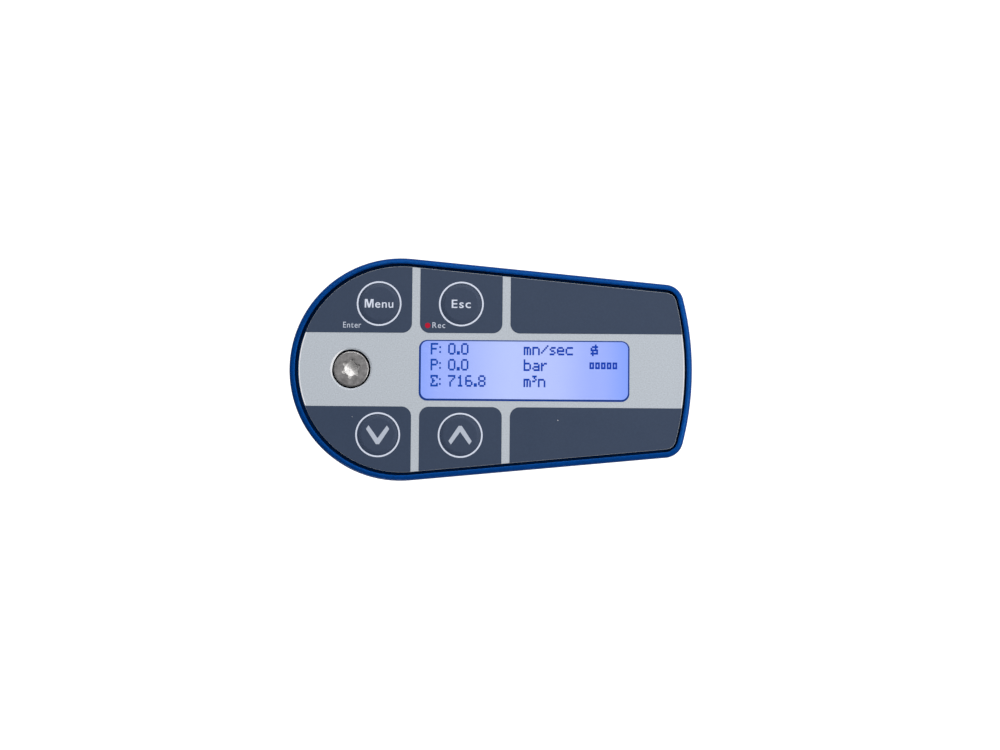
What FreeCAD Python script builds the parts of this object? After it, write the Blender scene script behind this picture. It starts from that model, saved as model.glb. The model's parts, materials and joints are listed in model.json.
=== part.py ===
import FreeCAD, Part
import math
import operator
import os
from types import SimpleNamespace

import Sketcher

# Insertion flow meter for compressed air: a display module on a transmitter, both with the same
# teardrop outline, above a probe that a compression fitting holds in the pipe.
# Origin: probe axis, at the face of the fitting that seals on the pipe. +Z runs up to the display,
# +X along the head to its tail. Lengths in millimetres, angles in degrees.
SIZES = {
    # Teardrop outline of the head
    "head_radius": 27.7,
    "tail_reach": 72.3,
    "side_taper": 5.5,
    "tail_corner": 4.75,
    # Display housing
    "module_height": 22.0,
    "shell_wall": 2.3,
    "rim_outer_round": 1.1,
    "rim_flat": 0.08,
    "rim_inner_round": 0.25,
    "edge_chamfer": 0.5,
    "plate_thickness": 2.2,
    "display_base_thickness": 2.5,
    "cover_clearance": 0.1,
    # Membrane keypad, from the top layer down
    "recess_depth": 0.5,
    "overlay_gap": 0.7,
    "overlay_shift": 0.23,
    "overlay_thickness": 0.4,
    "spacer_thickness": 0.6,
    "circuit_thickness": 0.3,
    "key_left_x": -5.46,
    "key_right_x": 15.0,
    "key_row_y": 16.3,
    "key_radius": 4.9,
    "key_clearance": 0.1,
    "key_emboss": 0.3,
    "key_slope": 0.8,
    "key_flex_gap": 0.3,
    "dome_radius": 3.2,
    "dome_bend_inset": 0.96,
    "dome_sheet": 0.12,
    "dome_crown": 0.15,
    "dome_clearance": 0.02,
    # Display window, panel and light
    "window_left": 4.5,
    "window_right": 56.9,
    "window_half": 7.55,
    "window_corner": 2.1,
    "window_ledge": 0.3,
    "window_clearance": 0.05,
    "lcd_margin_x": 3.0,
    "lcd_margin_y": 2.6,
    "lcd_corner": 0.6,
    "lcd_thickness": 2.8,
    "lcd_clearance": 0.15,
    "backlight_thickness": 3.0,
    "holder_wall": 1.4,
    "holder_floor": 1.2,
    # Circuit boards
    "board_thickness": 1.6,
    "board_edge_gap": 0.9,
    "boss_radius": 3.0,
    "boss_clearance": 0.4,
    "boss_tray_gap": 0.7,
    "board_screw_radius": 1.25,
    "board_screw_length": 5.5,
    "board_screw_head_radius": 2.2,
    "board_screw_head_height": 1.6,
    "board_screw_edge": 7.2,
    "board_screw_angle": 113.0,
    "board_screw_x": 36.0,
    "chip_height": 1.4,
    "controller_side": 9.0,
    "controller_x": 6.0,
    "memory_side": 6.0,
    "memory_x": 48.0,
    "amplifier_side": 7.0,
    "amplifier_x": 20.0,
    "converter_side": 5.0,
    "converter_x": 36.0,
    # Countersunk cover screws
    "cover_screw_radius": 1.5,
    "cover_screw_length": 9.0,
    "cover_screw_head_radius": 2.6,
    "cover_screw_head_height": 1.7,
    "cover_hole_clearance": 0.15,
    "thread_clearance": 0.05,
    "module_screw_edge": 7.7,
    "module_screw_front_x": 12.0,
    "module_screw_tail_x": 52.0,
    # Central fixing screw and its pillar
    "screw_x": -12.3,
    "screw_radius": 2.5,
    "screw_length": 30.0,
    "screw_head_radius": 4.45,
    "screw_head_height": 3.6,
    "screw_head_round": 0.35,
    "screw_drop": 0.3,
    "screw_opening_radius": 4.85,
    "screw_mouth_width": 0.45,
    "screw_mouth_depth": 0.16,
    "screw_seat_clearance": 0.3,
    "screw_hole_clearance": 0.3,
    "screw_boss_radius": 7.2,
    "lobe_core_radius": 1.72,
    "lobe_circle_radius": 1.92,
    "lobe_radius": 0.48,
    "lobe_turn": 22.0,
    "lobe_depth": 0.9,
    "recess_point_radius": 0.1,
    "recess_point_depth": 0.72,
    "seal_thickness": 0.8,
    "pillar_radius": 4.5,
    "pillar_stud_radius": 2.4,
    "pillar_stud_length": 3.5,
    # Gaskets between the covers
    "gasket_thickness": 0.8,
    "gasket_inset": 0.6,
    "gasket_reach": 3.3,
    # Transmitter housing, deck and base
    "transmitter_height": 28.0,
    "transmitter_wall": 2.5,
    "port_radius": 3.8,
    "port_bite": 0.4,
    "port_angle": 130.0,
    "deck_thickness": 2.5,
    "base_thickness": 5.0,
    "base_inset": 0.8,
    "base_chamfer": 1.2,
    "collar_height": 10.0,
    "collar_radius": 10.5,
    "collar_flare_radius": 16.0,
    "collar_flare_height": 5.0,
    "collar_chamfer": 1.0,
    # Sensor board under the deck, with its posts
    "sensor_board_left": -6.0,
    "sensor_board_tail_gap": 15.3,
    "sensor_board_half": 13.5,
    "sensor_board_corner": 2.0,
    "post_height": 7.0,
    "post_radius": 2.5,
    "post_left_x": 10.0,
    "post_end_gap": 7.0,
    "post_y": 10.5,
    # Plug connection between module and transmitter
    "link_x": 30.0,
    "link_half_length": 8.0,
    "link_half_width": 2.5,
    "link_wall": 2.0,
    "link_depth": 4.5,
    "link_clearance": 0.15,
    # Hook at the tail that holds the module down
    "hook_inset": 12.0,
    "hook_half_width": 5.5,
    "hook_thickness": 1.8,
    "hook_reach": 3.6,
    "hook_toe_height": 2.2,
    "hook_clearance": 0.2,
    "hook_slot_room": 2.4,
    # Round connector under the tail, four pins
    "socket_inset": 18.3,
    "socket_thread_radius": 6.0,
    "socket_thread_length": 9.5,
    "socket_chamfer": 0.5,
    "socket_flange_radius": 8.8,
    "socket_flange_height": 2.5,
    "socket_shank_radius": 6.5,
    "socket_shank_height": 13.0,
    "socket_bore_radius": 4.7,
    "socket_bore_depth": 8.5,
    "socket_insert_radius": 4.0,
    "socket_insert_height": 11.0,
    "socket_pin_radius": 0.5,
    "socket_pin_circle": 3.1,
    "socket_pin_reach": 6.5,
    "socket_pin_tail": 2.5,
    "socket_nut_flats": 17.0,
    "socket_nut_height": 3.0,
    "socket_seal_radius": 8.2,
    "socket_clearance": 0.1,
    "insert_clearance": 0.02,
    # Probe
    "probe_radius": 6.0,
    "probe_wall": 1.5,
    "probe_depth": 100.0,
    "tube_stub": 3.0,
    "tube_clearance": 0.02,
    "tip_nose": 4.0,
    "tip_chamfer": 1.5,
    "tip_web": 2.5,
    "tip_spigot": 9.0,
    "flow_window_width": 6.5,
    "flow_window_height": 18.0,
    "flow_window_corner": 1.5,
    "sensor_base_radius": 2.6,
    "sensor_base_height": 12.0,
    "sensor_pin_y": 1.35,
    "heated_pin_radius": 0.75,
    "heated_pin_reach": 9.0,
    "reference_pin_radius": 0.6,
    "reference_pin_reach": 7.5,
    "cable_radius": 1.4,
    "capsule_radius": 7.0,
    "capsule_height": 9.0,
    "capsule_cover": 2.5,
    # Compression fitting
    "thread_radius": 10.4775,
    "thread_length": 14.0,
    "thread_chamfer": 1.0,
    "hex_flats": 27.0,
    "hex_height": 10.0,
    "hex_chamfer": 0.8,
    "groove_inner": 11.1,
    "groove_outer": 12.7,
    "groove_depth": 1.4,
    "bore_clearance": 0.25,
    "neck_radius": 11.0,
    "neck_height": 10.0,
    "neck_chamfer": 0.8,
    "seat_radius": 8.4,
    "seat_depth": 6.0,
    "ferrule_clearance": 0.05,
    "ferrule_height": 7.4,
    "ferrule_drop": 5.4,
    "thrust_ring_height": 1.2,
    "thrust_ring_radius": 8.6,
    "nut_gap": 4.0,
    "nut_height": 14.0,
    "nut_clearance": 0.12,
    "nut_bore_clearance": 0.3,
    "ring_clearance": 0.2,
    "stand_off": 40.0,
}

LOBE_COUNT = 6
SOCKET_PIN_ANGLES = (45, 135, 225, 315)
OPERATIONS = {"+": operator.add, "-": operator.sub, "*": operator.mul, "/": operator.truediv}


class Size:
    """A number together with the formula that drives it."""

    def __init__(self, value, formula):
        self.value = value
        self.formula = formula

    def __add__(self, other):
        return combine(self, "+", other)

    def __sub__(self, other):
        return combine(self, "-", other)

    def __mul__(self, other):
        return combine(self, "*", other)

    def __truediv__(self, other):
        return combine(self, "/", other)

    def __neg__(self):
        return combine(0, "-", self)


def as_size(number):
    return number if isinstance(number, Size) else Size(number, repr(number))


def combine(left, sign, right):
    left = as_size(left)
    right = as_size(right)
    formula = f"({left.formula} {sign} {right.formula})"
    return Size(OPERATIONS[sign](left.value, right.value), formula)


def root(size):
    return Size(math.sqrt(size.value), f"sqrt({size.formula})")


def sine(angle):
    return Size(math.sin(math.radians(angle.value)), f"sin({angle.formula} * 1 deg)")


def cosine(angle):
    return Size(math.cos(math.radians(angle.value)), f"cos({angle.formula} * 1 deg)")


doc = FreeCAD.newDocument("FlowMeter")
sheet = doc.addObject("Spreadsheet::Sheet", "Sizes")
for row, (alias, number) in enumerate(SIZES.items(), 1):
    sheet.set(f"A{row}", alias)
    sheet.set(f"B{row}", str(number))
    sheet.setAlias(f"B{row}", alias)
doc.recompute()
S = SimpleNamespace(**{alias: Size(number, f"Sizes.{alias}") for alias, number in SIZES.items()})
pieces = []

# Heights of the main faces, from the pipe up
gland_bottom = S.hex_height + S.nut_gap
gland_top = gland_bottom + S.nut_height
neck_top = S.hex_height + S.neck_height
collar_bottom = gland_top + S.stand_off
base_bottom = collar_bottom + S.collar_height
base_top = base_bottom + S.base_thickness
housing_bottom = base_top + S.gasket_thickness
housing_top = housing_bottom + S.transmitter_height
deck_bottom = housing_top - S.deck_thickness
sensor_board_top = deck_bottom - S.post_height
sensor_board_bottom = sensor_board_top - S.board_thickness
module_bottom = housing_top + S.gasket_thickness
rim_width = S.rim_outer_round + S.rim_flat + S.rim_inner_round
rim_top = module_bottom + S.module_height
overlay_top = rim_top - S.recess_depth
overlay_bottom = overlay_top - S.overlay_thickness
spacer_bottom = overlay_bottom - S.spacer_thickness
plate_top = spacer_bottom - S.circuit_thickness
plate_bottom = plate_top - S.plate_thickness
display_base_top = module_bottom + S.display_base_thickness
lcd_bottom = plate_top - S.lcd_thickness
backlight_bottom = lcd_bottom - S.backlight_thickness
board_top = backlight_bottom - S.holder_floor
board_bottom = board_top - S.board_thickness
screw_head_top = overlay_top - S.screw_drop
screw_head_bottom = screw_head_top - S.screw_head_height
screw_seat = screw_head_bottom - S.seal_thickness
pillar_top = module_bottom - S.thread_clearance
tube_top = base_top + S.tube_stub
tip_end = -S.probe_depth
flow_window_bottom = tip_end + S.tip_nose
flow_window_top = flow_window_bottom + S.flow_window_height
tip_shoulder = flow_window_top + S.tip_web
tube_bore = S.probe_radius - S.probe_wall
socket_x = S.tail_reach - S.socket_inset
hook_x = S.tail_reach - S.hook_inset
sensor_board_right = S.tail_reach - S.sensor_board_tail_gap


def bind(thing, path, size):
    thing.setExpression(path, as_size(size).formula)


def place(thing, x=None, y=None, z=None):
    """Put a thing at x, y, z, leaving out what is zero."""
    for axis, size in (("x", x), ("y", y), ("z", z)):
        if size is not None:
            bind(thing, f"Placement.Base.{axis}", size)


def keep(thing):
    """Count a thing as one of the meter's own pieces."""
    pieces.append(thing)
    return thing


def measure(sketch, kind, places, size):
    number = math.radians(size.value) if kind == "Angle" else size.value
    index = sketch.addConstraint(Sketcher.Constraint(kind, *places, number))
    sketch.setExpression(f"Constraints[{index}]", size.formula)


def pin_point(sketch, geometry, spot, x, y):
    """Hold a point of a sketch at x, y; None means on that axis."""
    for kind, size, axis in (("DistanceX", x, -2), ("DistanceY", y, -1)):
        if size is None:
            sketch.addConstraint(Sketcher.Constraint("PointOnObject", geometry, spot, axis))
        else:
            measure(sketch, kind, (-1, 1, geometry, spot), size)


def new_body(name, z=None, x=None, y=None):
    body = doc.addObject("PartDesign::Body", name)
    place(body, x, y, z)
    return body


def new_sketch(body, name, height=None, plane="XY_Plane"):
    sketch = body.newObject("Sketcher::SketchObject", name)
    planes = [feature for feature in body.Origin.OriginFeatures if feature.Role == plane]
    sketch.AttachmentSupport = [(planes[0], "")]
    sketch.MapMode = "FlatFace"
    if height is not None:
        bind(sketch, "AttachmentOffset.Base.z", height)
    return sketch


def arc(sketch, x, y, radius, start, end):
    circle = Part.Circle(FreeCAD.Vector(x, y, 0), FreeCAD.Vector(0, 0, 1), radius)
    return sketch.addGeometry(Part.ArcOfCircle(circle, start, end))


def line(sketch, start, end):
    return sketch.addGeometry(Part.LineSegment(FreeCAD.Vector(*start, 0), FreeCAD.Vector(*end, 0)))


def join_tangent(sketch, loop):
    """Join curves end to start, each tangent to the next, all the way round."""
    for number, geometry in enumerate(loop):
        after = loop[(number + 1) % len(loop)]
        sketch.addConstraint(Sketcher.Constraint("Tangent", geometry, 2, after, 1))


def teardrop(sketch, inset, shift=None):
    """The head's outline, moved in by inset: two arcs about the probe axis joined by straight sides."""
    inset = as_size(inset)
    radii = [S.head_radius - inset, S.tail_corner - inset, S.tail_reach - inset, S.tail_corner - inset]
    head, corner, tail = (size.value for size in radii[:3])
    taper = math.radians(S.side_taper.value)
    offset = shift.value if shift else 0.0
    along = math.sqrt((tail - corner) ** 2 - (head - corner) ** 2)
    x = (head - corner) * math.sin(taper) + along * math.cos(taper)
    y = (head - corner) * math.cos(taper) - along * math.sin(taper)
    swing = math.atan2(y, x)
    side_angle = math.pi / 2 - taper
    leave = (offset + head * math.sin(taper), head * math.cos(taper))
    arrive = (offset + x + corner * math.sin(taper), y + corner * math.cos(taper))
    round_end = arc(sketch, offset, 0, head, side_angle, 2 * math.pi - side_angle)
    lower_side = line(sketch, (leave[0], -leave[1]), (arrive[0], -arrive[1]))
    lower_corner = arc(sketch, offset + x, -y, corner, -side_angle, -swing)
    tail_end = arc(sketch, offset, 0, tail, -swing, swing)
    upper_corner = arc(sketch, offset + x, y, corner, swing, side_angle)
    upper_side = line(sketch, arrive, leave)
    join_tangent(sketch, [round_end, lower_side, lower_corner, tail_end, upper_corner, upper_side])
    for curve in (round_end, tail_end):
        pin_point(sketch, curve, 3, shift, None)
    for curve, radius in zip((round_end, lower_corner, tail_end, upper_corner), radii):
        measure(sketch, "Radius", (curve,), radius)
    measure(sketch, "Angle", (lower_side,), S.side_taper)
    measure(sketch, "Angle", (upper_side,), as_size(180) - S.side_taper)


def rounded_rectangle(sketch, left, right, half, corner):
    """A rectangle with round corners, even about the X axis."""
    west, east, north, radius = (size.value for size in (left, right, half, corner))
    bottom = line(sketch, (west + radius, -north), (east - radius, -north))
    turn_one = arc(sketch, east - radius, -north + radius, radius, -math.pi / 2, 0)
    side_east = line(sketch, (east, -north + radius), (east, north - radius))
    turn_two = arc(sketch, east - radius, north - radius, radius, 0, math.pi / 2)
    top = line(sketch, (east - radius, north), (west + radius, north))
    turn_three = arc(sketch, west + radius, north - radius, radius, math.pi / 2, math.pi)
    side_west = line(sketch, (west, north - radius), (west, -north + radius))
    turn_four = arc(sketch, west + radius, -north + radius, radius, math.pi, 1.5 * math.pi)
    join_tangent(sketch, [bottom, turn_one, side_east, turn_two, top, turn_three, side_west, turn_four])
    for side in (bottom, top):
        sketch.addConstraint(Sketcher.Constraint("Horizontal", side))
    for side in (side_east, side_west):
        sketch.addConstraint(Sketcher.Constraint("Vertical", side))
    for turn in (turn_one, turn_two, turn_three, turn_four):
        measure(sketch, "Radius", (turn,), corner)
    measure(sketch, "DistanceX", (-1, 1, side_west, 1), left)
    measure(sketch, "DistanceX", (-1, 1, side_east, 1), right)
    measure(sketch, "DistanceY", (-1, 1, bottom, 1), -half)
    measure(sketch, "DistanceY", (-1, 1, top, 1), half)


def hole(sketch, x, y, radius):
    centre = FreeCAD.Vector(x.value if x else 0, y.value if y else 0, 0)
    circle = sketch.addGeometry(Part.Circle(centre, FreeCAD.Vector(0, 0, 1), radius.value))
    pin_point(sketch, circle, 3, x, y)
    measure(sketch, "Radius", (circle,), radius)


def pad(body, sketch, length):
    feature = body.newObject("PartDesign::Pad", f"{sketch.Name}_pad")
    feature.Profile = sketch
    bind(feature, "Length", length)
    return feature


def pocket(body, sketch, length, upward=False):
    feature = body.newObject("PartDesign::Pocket", f"{sketch.Name}_pocket")
    feature.Profile = sketch
    feature.Reversed = upward
    bind(feature, "Length", length)
    return feature


def edge_names(shape, chosen):
    names = []
    for number, edge in enumerate(shape.Edges, 1):
        if any(edge.isSame(other) for other in chosen):
            names.append(f"Edge{number}")
    return names


def end_face(body, height):
    """The flat face of a body that lies across Z at a height, the widest if there are more."""
    doc.recompute()
    shape = body.Tip.Shape
    flat = []
    for face in shape.Faces:
        box = face.BoundBox
        if box.ZLength < 1e-6 and abs(box.ZMin - height) < 1e-6:
            flat.append(face)
    return max(flat, key=lambda face: face.BoundBox.DiagonalLength)


def dress(body, kind, edges, size):
    """Round (Fillet, Radius) or bevel (Chamfer, Size) some edges of a body."""
    base = body.Tip
    feature = body.newObject(f"PartDesign::{kind}", f"{body.Name}_{kind}")
    feature.Base = (base, edge_names(base.Shape, edges))
    bind(feature, "Radius" if kind == "Fillet" else "Size", size)
    return feature


def plate(name, z, thickness, inset, holes=(), windows=(), inner=None, shift=None, notches=()):
    """A flat piece with the head's outline; notches are round cuts that may run out over its edge."""
    body = new_body(name, z)
    sketch = new_sketch(body, f"{name}_outline")
    teardrop(sketch, inset, shift)
    if inner is not None:
        teardrop(sketch, inner, shift)
    for x, y, radius in holes:
        hole(sketch, x, y, radius)
    for window in windows:
        rounded_rectangle(sketch, *window)
    pad(body, sketch, thickness)
    if notches:
        rounds = new_sketch(body, f"{name}_notches")
        for x, y, radius in notches:
            hole(rounds, x, y, radius)
        pocket(body, rounds, thickness, upward=True)
    return body


def block(name, z, height, window):
    """A straight block with a rounded rectangle for its section."""
    body = new_body(name, z)
    sketch = new_sketch(body, f"{name}_section")
    rounded_rectangle(sketch, *window)
    pad(body, sketch, height)
    return body


def turned(name, profile, z=None, x=None, y=None):
    """A lathe-turned piece: its half section as radius and height pairs, None for zero."""
    body = new_body(name, z, x, y)
    sketch = new_sketch(body, f"{name}_section", plane="XZ_Plane")
    spots = [tuple(size.value if size else 0.0 for size in point) for point in profile]
    count = len(spots)
    lines = [line(sketch, spots[n], spots[(n + 1) % count]) for n in range(count)]
    for n in range(count):
        sketch.addConstraint(Sketcher.Constraint("Coincident", lines[n], 2, lines[(n + 1) % count], 1))
        pin_point(sketch, lines[n], 1, *profile[n])
    feature = body.newObject("PartDesign::Revolution", f"{name}_turn")
    feature.Profile = sketch
    feature.ReferenceAxis = (sketch, ["V_Axis"])
    feature.Angle = 360
    return body


def tube(name, outer, inner, height, z=None, x=None, y=None):
    return turned(name, [(inner, None), (outer, None), (outer, height), (inner, height)], z, x, y)


def rod(name, radius, height, x=None, y=None, z=None):
    thing = doc.addObject("Part::Cylinder", name)
    bind(thing, "Radius", radius)
    bind(thing, "Height", height)
    place(thing, x, y, z)
    return thing


def frustum(name, radius_below, radius_above, height, x=None, y=None, z=None):
    thing = doc.addObject("Part::Cone", name)
    bind(thing, "Radius1", radius_below)
    bind(thing, "Radius2", radius_above)
    bind(thing, "Height", height)
    place(thing, x, y, z)
    return thing


def box(name, length, width, height, x, y, z):
    thing = doc.addObject("Part::Box", name)
    bind(thing, "Length", length)
    bind(thing, "Width", width)
    bind(thing, "Height", height)
    place(thing, x, y, z)
    return thing


def fuse(name, shapes):
    thing = doc.addObject("Part::MultiFuse", name)
    thing.Shapes = shapes
    thing.Refine = True
    return thing


def cut(name, base, tools):
    thing = doc.addObject("Part::Cut", name)
    thing.Base = base
    thing.Tool = tools[0] if len(tools) == 1 else fuse(f"{name}_tools", tools)
    return thing


def group(name, shapes):
    thing = doc.addObject("Part::Compound", name)
    thing.Links = shapes
    return thing


def hexagon_bar(name, flats, height, x=None, y=None, z=None):
    bar = doc.addObject("Part::Prism", name)
    bar.Polygon = 6
    bind(bar, "Circumradius", flats / root(as_size(3)))
    bind(bar, "Height", height)
    place(bar, x, y, z)
    return bar


def hexagon(name, flats, height, chamfer, z=None):
    """A hexagon bar cut to length, its corners turned to a bevel at both ends."""
    corner = flats / root(as_size(3))
    face = flats / 2
    profile = [(None, None), (face, None), (corner, chamfer), (corner, height - chamfer)]
    profile += [(face, height), (None, height)]
    common = doc.addObject("Part::MultiCommon", name)
    common.Shapes = [hexagon_bar(f"{name}_bar", flats, height, z=z), turned(f"{name}_turn", profile, z)]
    return common


def mirrored_spots(x, y):
    return [(x, y), (x, -y)]


def side_spots(x, edge):
    """A pair of places at x that lie a distance in from the head's two straight sides."""
    y = (S.head_radius - edge - x * sine(S.side_taper)) / cosine(S.side_taper)
    return mirrored_spots(x, y)


def round_spots(edge, angle):
    """A pair of places a distance in from the head's round end, at an angle either way from +X."""
    radius = S.head_radius - edge
    return mirrored_spots(radius * cosine(angle), radius * sine(angle))


key_spots = {
    "menu": (S.key_left_x, S.key_row_y),
    "escape": (S.key_right_x, S.key_row_y),
    "down": (S.key_left_x, -S.key_row_y),
    "up": (S.key_right_x, -S.key_row_y),
}
post_spots = mirrored_spots(S.post_left_x, S.post_y)
post_spots += mirrored_spots(sensor_board_right - S.post_end_gap, S.post_y)

# Screw ports of the extruded housing: two beside the round end, two nested in the tail's corners
port_depth = S.transmitter_wall + S.port_radius - S.port_bite
port_round = S.head_radius - port_depth
port_along = root((S.tail_reach - port_depth) * (S.tail_reach - port_depth) - port_round * port_round)
port_spots = round_spots(port_depth, S.port_angle)
port_spots += mirrored_spots(
    port_round * sine(S.side_taper) + port_along * cosine(S.side_taper),
    port_round * cosine(S.side_taper) - port_along * sine(S.side_taper),
)
cover_hole = S.cover_screw_radius + S.cover_hole_clearance
window = (S.window_left, S.window_right, S.window_half, S.window_corner)
ledge_window = (
    S.window_left + S.window_ledge,
    S.window_right - S.window_ledge,
    S.window_half - S.window_ledge,
    S.window_corner - S.window_ledge,
)
lcd_left = S.window_left - S.lcd_margin_x
lcd_right = S.window_right + S.lcd_margin_x
lcd_half = S.window_half + S.lcd_margin_y
lcd_section = (lcd_left, lcd_right, lcd_half, S.lcd_corner)

# Bosses of the display housing: two pairs follow its outline, two stand beside the screen's tray
tray_half = lcd_half + S.lcd_clearance + S.holder_wall
boss_y = tray_half + S.boss_tray_gap + S.boss_radius
board_screw_spots = round_spots(S.board_screw_edge, S.board_screw_angle)
board_screw_spots += mirrored_spots(S.board_screw_x, boss_y)
module_screw_spots = side_spots(S.module_screw_front_x, S.module_screw_edge)
module_screw_spots += mirrored_spots(S.module_screw_tail_x, boss_y)


def grown(section, gap):
    left, right, half, corner = section
    return (left - gap, right + gap, half + gap, corner + gap)


def countersunk(name, x, y, z, head_up):
    """A countersunk screw whose head's face lies at z."""
    head_z = z - S.cover_screw_head_height if head_up else z
    shank_z = z - S.cover_screw_length if head_up else z
    wide, narrow = S.cover_screw_head_radius, S.cover_screw_radius
    ends = (narrow, wide) if head_up else (wide, narrow)
    head = frustum(f"{name}_head", *ends, S.cover_screw_head_height, x, y, head_z)
    shank = rod(f"{name}_shank", narrow, S.cover_screw_length, x, y, shank_z)
    return fuse(name, [head, shank])


def countersinks(name, spots, z, head_up):
    """The conical seats of countersunk screws in a plate."""
    cones = []
    gap = S.cover_hole_clearance
    for number, (x, y) in enumerate(spots, 1):
        depth = S.cover_screw_head_height
        ends = [S.cover_screw_head_radius + gap, S.cover_screw_radius + gap]
        ends = ends[::-1] if head_up else ends
        low = z - depth if head_up else z
        cones.append(frustum(f"{name}_{number}", *ends, depth, x, y, low))
    return cones


def screw_set(name, spots, z, head_up):
    screws = [countersunk(f"{name}_{n}", x, y, z, head_up) for n, (x, y) in enumerate(spots, 1)]
    return keep(group(name, screws))


def board_screw_set(name, spots, z, head_up):
    """Pan-head screws: the head's seat lies at z."""
    screws = []
    for number, (x, y) in enumerate(spots, 1):
        head_z = z if head_up else z - S.board_screw_head_height
        shank_z = z - S.board_screw_length if head_up else z
        head_size = (S.board_screw_head_radius, S.board_screw_head_height)
        head = rod(f"{name}_{number}_head", *head_size, x, y, head_z)
        shank = rod(f"{name}_{number}_shank", S.board_screw_radius, S.board_screw_length, x, y, shank_z)
        screws.append(fuse(f"{name}_{number}", [head, shank]))
    return keep(group(name, screws))


def make_display_housing():
    """Moulded shell: teardrop wall, keypad recess inside a raised rim, front plate and bosses."""
    name = "display_housing"
    body = new_body(name, module_bottom)
    floor = plate_top - module_bottom
    ceiling = plate_bottom - module_bottom
    seat = screw_seat - module_bottom
    outline = new_sketch(body, "housing_outline")
    teardrop(outline, 0)
    pad(body, outline, S.module_height)
    recess = new_sketch(body, "housing_recess", S.module_height)
    teardrop(recess, rim_width)
    pocket(body, recess, S.module_height - floor)
    cavity = new_sketch(body, "housing_cavity")
    teardrop(cavity, S.shell_wall)
    pocket(body, cavity, ceiling, upward=True)

    low_bosses = new_sketch(body, "housing_low_bosses", S.display_base_thickness)
    hole(low_bosses, S.screw_x, None, S.screw_boss_radius)
    for x, y in module_screw_spots:
        hole(low_bosses, x, y, S.boss_radius)
    pad(body, low_bosses, ceiling - S.display_base_thickness)
    board_bosses = new_sketch(body, "housing_board_bosses", board_top - module_bottom)
    for x, y in board_screw_spots:
        hole(board_bosses, x, y, S.boss_radius)
    pad(body, board_bosses, plate_bottom - board_top)

    opening = new_sketch(body, "housing_window", floor)
    rounded_rectangle(opening, *grown(lcd_section, S.lcd_clearance))
    pocket(body, opening, S.plate_thickness)
    screw_well = new_sketch(body, "housing_screw_well", floor)
    hole(screw_well, S.screw_x, None, S.screw_head_radius + S.screw_seat_clearance)
    pocket(body, screw_well, floor - seat)
    screw_way = new_sketch(body, "housing_screw_way", S.display_base_thickness)
    hole(screw_way, S.screw_x, None, S.screw_radius + S.screw_hole_clearance)
    pocket(body, screw_way, seat - S.display_base_thickness, upward=True)
    pilot_depth = S.cover_screw_length - S.display_base_thickness
    pilots = new_sketch(body, "housing_pilots", S.display_base_thickness)
    for x, y in module_screw_spots:
        hole(pilots, x, y, S.cover_screw_radius + S.thread_clearance)
    pocket(body, pilots, pilot_depth + S.cover_clearance, upward=True)
    board_pilots = new_sketch(body, "housing_board_pilots", board_top - module_bottom)
    for x, y in board_screw_spots:
        hole(board_pilots, x, y, S.board_screw_radius + S.thread_clearance)
    board_pilot_depth = S.board_screw_length - S.board_thickness + S.cover_clearance
    pocket(body, board_pilots, board_pilot_depth, upward=True)

    rim = end_face(body, S.module_height.value)
    dress(body, "Fillet", rim.OuterWire.Edges, S.rim_outer_round)
    rim = end_face(body, S.module_height.value)
    inner_edges = [edge for wire in rim.Wires if not wire.isSame(rim.OuterWire) for edge in wire.Edges]
    dress(body, "Fillet", inner_edges, S.rim_inner_round)
    foot = end_face(body, 0.0)
    dress(body, "Chamfer", foot.OuterWire.Edges, S.edge_chamfer)
    keep(body)


def make_display_base():
    """Plate that closes the module from below, with the hook that catches under the deck."""
    name = "display_base"
    holes = [(S.screw_x, None, S.screw_radius + S.screw_hole_clearance)]
    holes += [(x, y, cover_hole) for x, y in module_screw_spots]
    way = (
        S.link_x - S.link_half_length - S.link_clearance,
        S.link_x + S.link_half_length + S.link_clearance,
        S.link_half_width + S.link_clearance,
        S.lcd_corner,
    )
    inset = S.shell_wall + S.cover_clearance
    flat = plate("display_base_plate", module_bottom, S.display_base_thickness, inset, holes, [way])
    toe_top = deck_bottom - S.hook_clearance
    toe_bottom = toe_top - S.hook_toe_height
    width = S.hook_half_width * 2
    leg = box("hook_leg", S.hook_thickness, width, module_bottom - toe_bottom, hook_x,
              -S.hook_half_width, toe_bottom)
    toe = box("hook_toe", S.hook_reach, width, S.hook_toe_height, hook_x + S.hook_thickness,
              -S.hook_half_width, toe_bottom)
    whole = fuse("display_base_whole", [flat, leg, toe])
    seats = countersinks("display_base_sink", module_screw_spots, module_bottom, False)
    keep(cut(name, whole, seats))


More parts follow.
